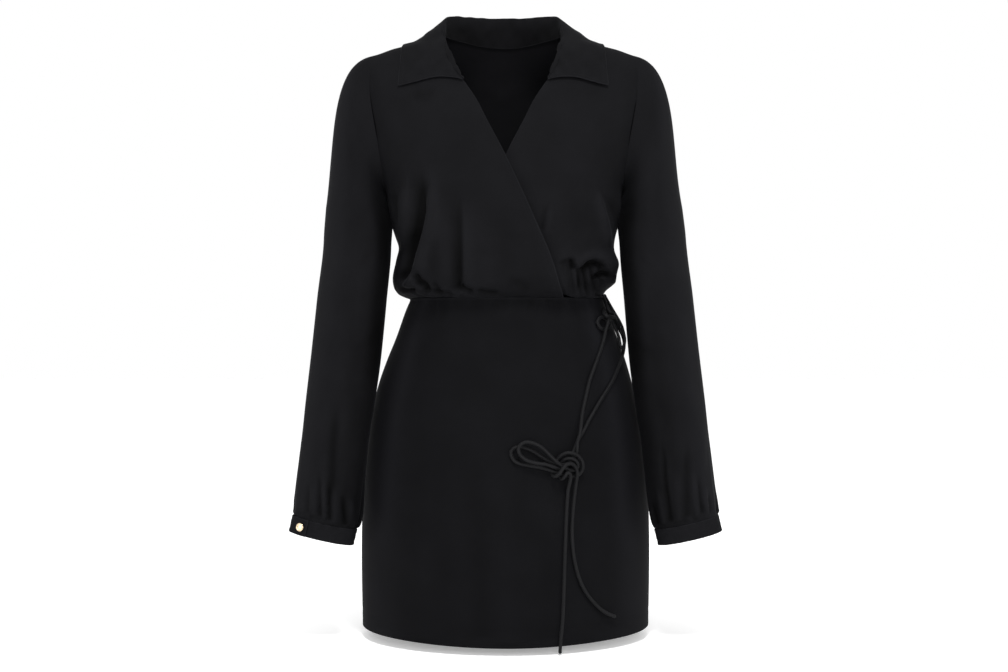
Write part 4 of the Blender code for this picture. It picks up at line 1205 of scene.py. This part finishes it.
def pulled_tight(routes, diameter):
    """Push the cords apart where they press into each other, as the turns of a tight knot do."""
    points = np.vstack(routes)
    owner = np.repeat(np.arange(len(routes)), [len(route) for route in routes])
    order = np.arange(len(points))
    home = points.copy()
    far_along = np.abs(order[:, None] - order[None]) * CORD_STEP > 2.2 * diameter
    apart = (owner[:, None] != owner[None]) | far_along
    gaps = np.linalg.norm(points[:, None] - points[None], axis=2)
    busy = ((gaps < 1.6 * diameter) & apart).any(axis=1)
    for _ in range(5):
        busy = busy | np.roll(busy, 1) | np.roll(busy, -1)
    chosen = np.flatnonzero(busy)
    pairs = apart[np.ix_(chosen, chosen)]
    same = (owner[2:] == owner[:-2])[:, None]
    for _ in range(KNOT_ROUNDS):
        part = points[chosen]
        way = part[:, None] - part[None]
        gap = np.maximum(np.linalg.norm(way, axis=2), 1e-6)
        press = np.where(pairs & (gap < diameter), diameter - gap, 0.0)
        push = (way / gap[..., None] * press[..., None]).sum(axis=1)
        most = np.maximum(press.max(axis=1), 1e-9)[:, None]
        size = np.maximum(np.linalg.norm(push, axis=1, keepdims=True), 1e-9)
        part = part + push / size * np.minimum(most, size) * 0.35
        points[chosen] = mix(part, home[chosen], 0.02)
        smooth = points.copy()
        middle = 0.5 * (points[2:] + points[:-2])
        smooth[1:-1] = np.where(same, mix(points[1:-1], middle, 0.30), points[1:-1])
        points[chosen] = off_the_skirt(smooth[chosen], 0.5 * diameter + 0.0004)
    return [points[owner == i] for i in range(len(routes))]


def cord_rings(points, diameter):
    """Rings round a route, which close in a dome at its ends."""
    way = unit(np.gradient(points, axis=0))
    side = np.cross(way[0], [0.0, -1.0, 0.2])
    sides = []
    for direction in way:
        side = unit(side - direction * side.dot(direction))
        sides.append(side)
    sides = np.array(sides)
    done = lengths_along(points)
    from_end = np.minimum(done, done[-1] - done)
    radius = 0.5 * diameter * quarter_round(np.maximum(from_end / (0.5 * diameter), 0.02))
    return points[:, None] + rims(sides, np.cross(way, sides), CORD_SIDES) * radius[:, None, None]


def rims(first, second, sides):
    """Ways out round rings, from two ways out of each ring that are square to each other."""
    turn = 2.0 * math.pi * np.arange(sides)[:, None] / sides
    return first[..., None, :] * np.cos(turn) + second[..., None, :] * np.sin(turn)


def whole_route(*parts):
    """One smooth route through drawn turns and stops on the skirt."""
    points = np.array([maker(*row) for maker, rows in parts for row in rows])
    return evenly(through(points, np.linspace(0.0, 1.0, 12 * len(points))), CORD_STEP)


class DRESS_OT_tie(Operator):
    """Make the two cords of the tie, through their knots"""

    bl_idname = "dress.tie"
    bl_label = "Tie"

    def execute(self, context):
        tie = context.scene.dress_tie
        finish = cord_finish("braided_cord", tuple(tie.colour))
        front = whole_route(
            (drawn_turn, WAIST_TURNS_FRONT), (on_skirt, FRONT_STRAND),
            (drawn_turn, BOW_TURNS_FRONT), (on_skirt, LONG_TAIL),
        )
        side = whole_route(
            (drawn_turn, WAIST_TURNS_SIDE), (on_skirt, SIDE_STRAND),
            (drawn_turn, BOW_TURNS_SIDE), (on_skirt, CURVED_TAIL),
        )
        front, side = pulled_tight([front, side], tie.cord)
        for name, route, nodes in (
            ("tie_cord_front", front, ("strand_front", "loop_front", "tail_long", "bow_knot")),
            ("tie_cord_side", side, ("strand_side", "loop_back", "tail_curved", "waist_knot")),
        ):
            done = lengths_along(route)
            nodes = ["tie_" + node_name for node_name in nodes]
            made = round_piece(name, cord_rings(route, tie.cord), done, finish, "rope", *nodes)
        return {"FINISHED"}


# ---- the cloth

def grid_of(surface, us, vs):
    return surface(*np.meshgrid(us, vs))


def folded(grid, folds, toward_front=True, closed=False):
    """A panel's places on its drawing, how much of it faces that way, and its drawn folds."""
    across, down = drawn_places(grid) if toward_front else flat_places(grid)
    normals = normals_of(grid, closed)
    faced = ramp(-normals[..., 1] if toward_front else normals[..., 1], 0.05, 0.45)
    return across, down, faced, faced * fold_heights(folds, across, down)


def around_body(points):
    return np.arctan2(points[..., 0], -points[..., 1])


def underarm_band(z):
    return np.exp(-(np.abs((z + 0.246) / 0.026) ** 2.6))


def bodice_relief(grid):
    """What the whole bodice shares: soft unevenness, fuller towards the waist, and room under the arms."""
    around = around_body(grid)
    z = grid[..., 2]
    low = ramp(-z, 0.16, 0.14) * ramp(z, WAIST, 0.020)
    relief = 0.0011 * low * soft_waves(around, z / 0.10, 11, turns=(4, 14), climb=2.2)
    relief += 0.0006 * soft_waves(around, z / 0.08, 12, turns=(2, 7), climb=3.0) * smoothstep(-z / 0.05)
    return relief + UNDERARM_EASE * hump(np.abs(around), 0.5 * math.pi, 0.45) * underarm_band(z)


def lip_relief(grid, across, down, front):
    """The under front's blouse, which hangs over its gathers."""
    line = LIP(across)[0]
    past_wrap = smoothstep((grid[..., 0] - WRAP(grid[..., 2])[0] - 0.004) / 0.010)
    inside = past_wrap * ramp(-across, -618.0, 14.0) * front
    under = ramp(down, line, 2.6) * ramp(-down, -297.0, 10.0)
    full = 0.42 + 0.58 * ramp(across, 574.0, 8.0)
    streaks = sum(
        deep / 1000.0 * hump(across - 0.10 * (down - 280.0), place, wide)
        for place, deep, wide in LIP_GATHERS
    )
    relief = inside * full * (0.0012 * hump(down, line - 5.0, 5.0) - LIP_DROP * under)
    return relief + 0.62 * inside * ramp(down, line + 3.0, 8.0) * ramp(-down, -297.5, 4.0) * streaks


class DRESS_OT_bodice(Operator):
    """Make the two crossed fronts and the back"""

    bl_idname = "dress.bodice"
    bl_label = "Bodice"

    def execute(self, context):
        depth = context.scene.dress_cloth.gather_depth
        for name, surface, columns, folds, share, seed, turned in (
            ("bodice_front_right", over_front, shares(0.300, 0.0018), OVER_FOLDS, 1.0, 21, ("right",)),
            ("bodice_front_left", under_front, shares(0.300, 0.0018), UNDER_FOLDS, 1.2, 22, ("left",)),
            ("bodice_back", back_panel, shares(0.420, 0.0026), BACK_FOLDS, 0.9, 23, ()),
        ):
            grid = beside_roll(drawn_in(leaning(grid_of(surface, columns, shares(0.380, 0.0023)))))
            along, up = flat_lengths(grid)
            across, down, faced, relief = folded(grid, folds, name != "bodice_back")
            gathers = seam_gathers(along, up[:, None], seed, 0.0105, share * depth, 0.016)
            relief += bodice_relief(grid)
            inner = 0.0
            if name == "bodice_front_right":
                gathers *= 0.35 + 0.65 * ramp(-across, -470.0, 40.0)
                relief += 0.0004 * hump(along, along[-1], 0.0022)
            elif name == "bodice_front_left":
                relief += lip_relief(grid, across, down, faced)
            else:
                # Painted light: the inside of the back is painted paler just below the neck.
                below_neck = back_neck_height(grid[..., 0]) - grid[..., 2]
                inner = 1.30 * ramp(-np.abs(grid[..., 0]), -0.100, 0.03)
                inner *= hump(below_neck, 0.0, 0.045) * ramp(below_neck, 0.0015, 0.004)
            shell(name, grid, relief + gathers, turned=turned, shade=(0.0, inner))
        return {"FINISHED"}


class DRESS_OT_collar(Operator):
    """Make the collar, laid on the shoulders"""

    bl_idname = "dress.collar"
    bl_label = "Collar"

    def execute(self, context):
        tree = self.shoulders()
        sides = shares(0.460, 0.0026)
        u, v = np.meshgrid(sides, shares(0.085, 0.0020))
        side = 2.0 * u - 1.0
        out = np.abs(side)
        x, y, z = parts_of(collar_half(out, v))
        x = x - 0.0060 * ramp(x, 0.08, 0.05) * (side > 0.0)
        grid = beside_roll(points_of(np.where(side < 0.0, -x, x), y, z))
        lift = COLLAR_LIFT + COLLAR_RIDGE_LIFT * hump(grid[..., 1], 0.0, 0.025)
        clearance = mix(COLLAR_BASE * ramp(out, 0.42, 0.08), lift, ramp(v, 0.4, 0.1))
        rolled = ramp(v, 0.15, 0.25) * smoothstep((1.0 - out) / 0.12)
        for times in (70, 6):
            self.lay(grid, clearance, tree)
            self.ease(grid, sides, rolled, times)
        # The roll stands higher at the sides of the neck than behind it
        x, y, z = parts_of(grid)
        rise = (0.0022 * hump(np.abs(x), 0.072, 0.030) + 0.0004) * ramp(z, 0.010, 0.024)
        grid = points_of(x, y, z + rise)
        # Painted shade: the stand's inside is painted darker, less so at the middle of the back.
        stand = (1.0 - ramp(v, 0.12, 0.24)) * smoothstep((0.80 - out) / 0.12)
        shade = -(0.86 - 0.46 * hump(x, 0.0, 0.036)) * stand
        relief = 0.0004 * soft_waves(4.0 * x / 0.1, grid[..., 2] / 0.03, 5)
        shell(
            "collar", grid, relief, turned=("left", "right", "high"),
            thick=0.0013, turned_thick=0.0022, turned_width=0.0060, shade=(shade, 0.0),
        )
        return {"FINISHED"}

    @staticmethod
    def lay(grid, clearance, tree):
        """Lift the collar where it is nearer to the shoulders than it should be."""
        flat = grid.reshape(-1, 3)
        for i, (place, want) in enumerate(zip(flat, clearance.ravel())):
            hit, normal, _, _ = tree.find_nearest(Vector(place))
            height = (Vector(place) - hit).dot(normal)
            if height < want:
                flat[i] = place + np.array(normal) * (want - height)

    @staticmethod
    def ease(grid, sides, weight, times):
        """Let the collar run smoothly round the neck and over the shoulders."""
        gaps = np.diff(sides)
        before, after = gaps[:-1, None], gaps[1:, None]
        for _ in range(times):
            middle = (grid[:, :-2] * after + grid[:, 2:] * before) / (before + after)
            grid[:, 1:-1] = mix(grid[:, 1:-1], middle, 0.5 * weight[:, 1:-1, None])

    @staticmethod
    def shoulders():
        """The fronts and the back as one surface to lay the collar on."""
        steps = np.linspace(0, 1, 41)
        vertices, faces = [], []
        for surface in (over_front, under_front, back_panel):
            numbers = len(vertices) + np.arange(steps.size**2).reshape(steps.size, steps.size)
            vertices += leaning(grid_of(surface, steps, steps)).reshape(-1, 3).tolist()
            faces += faces_of(numbers).tolist()
        return BVHTree.FromPolygons(vertices, faces)


class DRESS_OT_sleeves(Operator):
    """Make the two sleeves, gathered into their cuffs"""

    bl_idname = "dress.sleeves"
    bl_label = "Sleeves"

    def execute(self, context):
        depth = context.scene.dress_cloth.gather_depth
        around = shares(0.310, 0.0025, close_ends=False)
        for side, surface, folds, seed in (
            ("right", sleeve_right, RIGHT_SLEEVE_FOLDS, 31),
            ("left", mirrored(sleeve_right), LEFT_SLEEVE_FOLDS, 47),
        ):
            grid = wrist_out(leaning(grid_of(surface, around, shares(0.640, 0.0030))))
            grid[:, -1] = grid[:, 0]
            along, up = flat_lengths(grid)
            _, _, front, relief = folded(grid, folds, closed=True)
            turn = 2.0 * math.pi * around
            climb = up[:, None]
            height = grid[..., 2]
            full = (0.0004 + 0.0010 * hump(climb, 0.0, 0.30)) * smoothstep((up[-1] - climb) / 0.03)
            relief += full * soft_waves(turn, climb / 0.16, seed, turns=(2, 7), climb=2.0)
            pleats = seam_gathers(along, climb, seed + 1, 0.0125, 1.7 * depth, 0.050, wrap=True)
            relief += (1.0 - 0.65 * front) * pleats
            relief += UNDERARM_EASE * hump(turn, math.pi, 0.6) * underarm_band(height)
            relief *= smoothstep((climb + 0.0012) / 0.0055)
            relief[:, -1] = relief[:, 0]

            # Painted light: a painted highlight down the sleeve's outer front, painted shade on its inner
            # side below the arm, and painted shade over the middle and inner side of the lower sleeve.
            normals = normals_of(grid, closed=True)
            away = normals[..., 0] * np.sign(grid[..., 0])
            turned_out = np.degrees(np.arctan2(away, -normals[..., 1]))
            under_arm = ramp(-height, 0.195, 0.070) * mix(1.0, 0.15, ramp(-height, 0.40, 0.12))
            shade = 0.62 * hump(turned_out, 48.0, 20.0) - 0.80 * under_arm * ramp(-away, 0.42, 0.40)
            shade -= 0.40 * ramp(-height, 0.33, 0.10) * ramp(-turned_out, -14.0, 30.0)
            shell("sleeve_" + side, grid, relief, closed=True, shade=(shade, 0.0))
        return {"FINISHED"}


class DRESS_OT_cuffs(Operator):
    """Make the two cuffs with their lapped ends"""

    bl_idname = "dress.cuffs"
    bl_label = "Cuffs"

    def execute(self, context):
        for side, surface in CUFF_SURFACES.items():
            grid = wrist_out(grid_of(surface, shares(0.245, 0.0018), shares(CUFF_HEIGHT, 0.0012)))
            relief = 0.00025 * soft_waves(flat_lengths(grid)[0] / 0.02, grid[..., 2] / 0.01, 8)
            # Painted light: the cuffs are painted paler than the sleeves.
            shell(
                "cuff_" + side, grid, relief,
                turned=("left", "right", "low", "high"),
                thick=0.0016, turned_thick=0.0020, turned_width=0.0045, shade=(0.30, 0.0),
            )
        return {"FINISHED"}


class DRESS_OT_buttons(Operator):
    """Turn the two domed cuff buttons"""

    bl_idname = "dress.buttons"
    bl_label = "Buttons"

    def execute(self, context):
        finish = gold_finish("pale_gold", tuple(context.scene.dress_buttons.gold))
        for side, surface in CUFF_SURFACES.items():
            u = BUTTON_PLACE * CUFF_OVERLAP / (2.0 * math.pi + CUFF_OVERLAP)
            u = 1.0 - u if side == "right" else u
            steps = np.linspace(-0.002, 0.002, 3)
            patch = wrist_out(grid_of(surface, u + steps, 0.5 + steps * 5.0))
            out = normals_of(patch)[1, 1]
            across = unit(np.cross(out, [0.0, 0.0, 1.0]))
            ways = rims(across, np.cross(out, across), BUTTON_SIDES)
            rings = np.array([
                patch[1, 1] + out * (SEAM + height * BUTTON_HEIGHT) + ways * share * BUTTON_RADIUS
                for share, height in BUTTON_ROWS
            ])
            name = "cuff_button_" + side
            round_piece(name, rings, lengths_along(rings[:, 0]), finish, "gold_button", name)
        return {"FINISHED"}


class DRESS_OT_skirt(Operator):
    """Make the front and back of the skirt"""

    bl_idname = "dress.skirt"
    bl_label = "Skirt"

    def execute(self, context):
        depth = context.scene.dress_cloth.gather_depth
        for name, start, folds, seed in (
            ("skirt_front", -math.pi / 2, SKIRT_FOLDS, 61),
            ("skirt_back", math.pi / 2, SKIRT_BACK_FOLDS, 67),
        ):
            u, v = np.meshgrid(shares(0.520, 0.0036), shares(0.450, 0.0036))
            grid = drawn_in(skirt_point(start + math.pi * u, mix(HEM, WAIST, v)))
            along, up = flat_lengths(grid)
            _, _, _, relief = folded(grid, folds, name == "skirt_front")
            around = around_body(grid)
            z = grid[..., 2]
            fall = np.clip((WAIST - z) / (WAIST - HEM), 0.0, 1.0)
            relief += 0.0009 * smoothstep(fall / 0.8) * soft_waves(around, fall, 71, turns=(3, 9), climb=1.6)
            from_top = up[-1] - up[:, None]
            relief += seam_gathers(along, from_top, seed, 0.014, 0.45 * depth, 0.018)
            relief += 0.0016 * hump(from_top, 0.0008, 0.0014) - 0.00025 * hump(up[:, None], 0.022, 0.0028)
            # Painted light: a pale band painted down each side of the skirt, weaker towards the hem.
            share = np.abs(np.sin(around)) * np.hypot(grid[..., 0], grid[..., 1]) / SKIRT(z)[0]
            shade = 1.6 * hump(share, 0.85, 0.12) * (0.45 + 0.55 * ramp(z, -0.72, 0.10))
            shell(
                name, grid, relief, "skirt_crepe",
                turned=("low",), shade=(shade, 0.0),
            )
        return {"FINISHED"}


# ---- stage

class DRESS_OT_camera(Operator):
    """Place the camera level with the dress's middle"""

    bl_idname = "dress.camera"
    bl_label = "Camera"

    def execute(self, context):
        data = bpy.data.cameras.new("camera")
        data.lens = CAMERA_LENS
        data.sensor_width = 36.0
        place = (CAMERA_SIDE, -CAMERA_AWAY, CAMERA_HEIGHT)
        context.scene.camera = placed("camera", data, place, (math.pi / 2, 0.0, 0.0))
        return {"FINISHED"}


class DRESS_OT_stage(Operator):
    """Lay the pale floor and hang the soft lights"""

    bl_idname = "dress.stage"
    bl_label = "Stage"

    def execute(self, context):
        stage = context.scene.dress_stage
        context.scene.view_settings.view_transform = "Standard"
        self.daylight(context.scene, stage)
        self.floor(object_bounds()[0].z - stage.floor_gap, stage.table_glow)
        for name, place, size, share in (
            ("softbox_above", (0.12, -1.55, 2.0), 0.7, 1.0),
            ("softbox_front", (0.25, -2.8, -0.05), 1.3, 0.48),
            ("softbox_right", (-2.0, -1.50, -0.2), 1.2, 0.23),
            ("softbox_left", (2.0, -1.50, -0.2), 1.2, 0.22),
        ):
            data = bpy.data.lights.new(name, "AREA")
            data.shape = "SQUARE"
            data.size = size
            data.energy = share * stage.softbox
            aim = Vector((0.0, 0.0, -0.35)) - Vector(place)
            placed(name, data, place, aim.to_track_quat("-Z", "Y").to_euler())
        return {"FINISHED"}

    @staticmethod
    def daylight(scene, stage):
        """Even white light, weaker from the room in front."""
        world = bpy.data.worlds.new("daylight")
        world.use_nodes = True
        tree = world.node_tree
        way = node(tree, "TexCoord", "Generated", {})
        fade = node(tree, "MapRange", "Result", {
            "Value": node(tree, "SeparateXYZ", "Y", {"Vector": way}),
            "From Min": -0.75, "From Max": 0.15, "To Min": stage.room, "To Max": 1.0,
        }, interpolation_type="SMOOTHSTEP")
        strength = maths(tree, "MULTIPLY", fade, stage.daylight)
        feed(tree, tree.nodes["Background"], {"Strength": strength, "Color": (1.0, 1.0, 1.0, 1.0)})
        scene.world = world

    @staticmethod
    def floor(low, glow):
        """A wide sheet of pale paper."""
        half = 12.0
        corners = [(-half, -half, low), (half, -half, low), (half, half, low), (-half, half, low)]
        mesh = bpy.data.meshes.new("floor")
        mesh.from_pydata(corners, [], [(0, 1, 2, 3)])
        paper, tree, shader = new_finish("pale_paper")
        place = node(tree, "TexCoord", "Object", {})
        grain = node(tree, "TexNoise", "Fac", {"Vector": place, "Scale": 60.0, "Detail": 2.0})
        feed(tree, shader, {
            "Base Color": toned(tree, (1.0, 1.0, 1.0), 0.92, 0.96, grain),
            "Roughness": 1.0,
            "Specular IOR Level": 0.0,
            "Emission Color": (1.0, 1.0, 1.0, 1.0),
            "Emission Strength": glow,
        })
        mesh.materials.append(paper)
        placed("floor", mesh)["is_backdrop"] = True


class DRESS_PT_maker(Panel):
    """Everything the dress is made with"""

    bl_idname = "DRESS_PT_maker"
    bl_label = "Wrap Dress"
    bl_space_type = "VIEW_3D"
    bl_region_type = "UI"
    bl_category = "Wrap Dress"

    def draw(self, context):
        for group in GROUPS:
            box = self.layout.box()
            settings = getattr(context.scene, group)
            for key in settings.bl_rna.properties.keys():
                if key not in ("rna_type", "name"):
                    box.prop(settings, key)
        for operator in OPERATORS:
            self.layout.operator(operator.bl_idname)


GROUPS = {
    "dress_cloth": DressCloth,
    "dress_tie": DressTie,
    "dress_buttons": DressButtons,
    "dress_stage": DressStage,
}
OPERATORS = (
    DRESS_OT_camera,
    DRESS_OT_tie,
    DRESS_OT_bodice,
    DRESS_OT_collar,
    DRESS_OT_sleeves,
    DRESS_OT_cuffs,
    DRESS_OT_buttons,
    DRESS_OT_skirt,
    DRESS_OT_stage,
)


def register():
    for made in (*GROUPS.values(), *OPERATORS, DRESS_PT_maker):
        bpy.utils.register_class(made)
    for name, group in GROUPS.items():
        setattr(bpy.types.Scene, name, PointerProperty(type=group))


def unregister():
    for name in GROUPS:
        delattr(bpy.types.Scene, name)
    for made in reversed((*GROUPS.values(), *OPERATORS, DRESS_PT_maker)):
        bpy.utils.unregister_class(made)


def main():
    register()
    bpy.ops.dress.camera()
    bpy.ops.dress.tie()
    bpy.ops.dress.bodice()
    bpy.ops.dress.collar()
    bpy.ops.dress.sleeves()
    bpy.ops.dress.cuffs()
    bpy.ops.dress.buttons()
    bpy.ops.dress.skirt()
    bpy.ops.dress.stage()


if __name__ == "__main__":
    main()
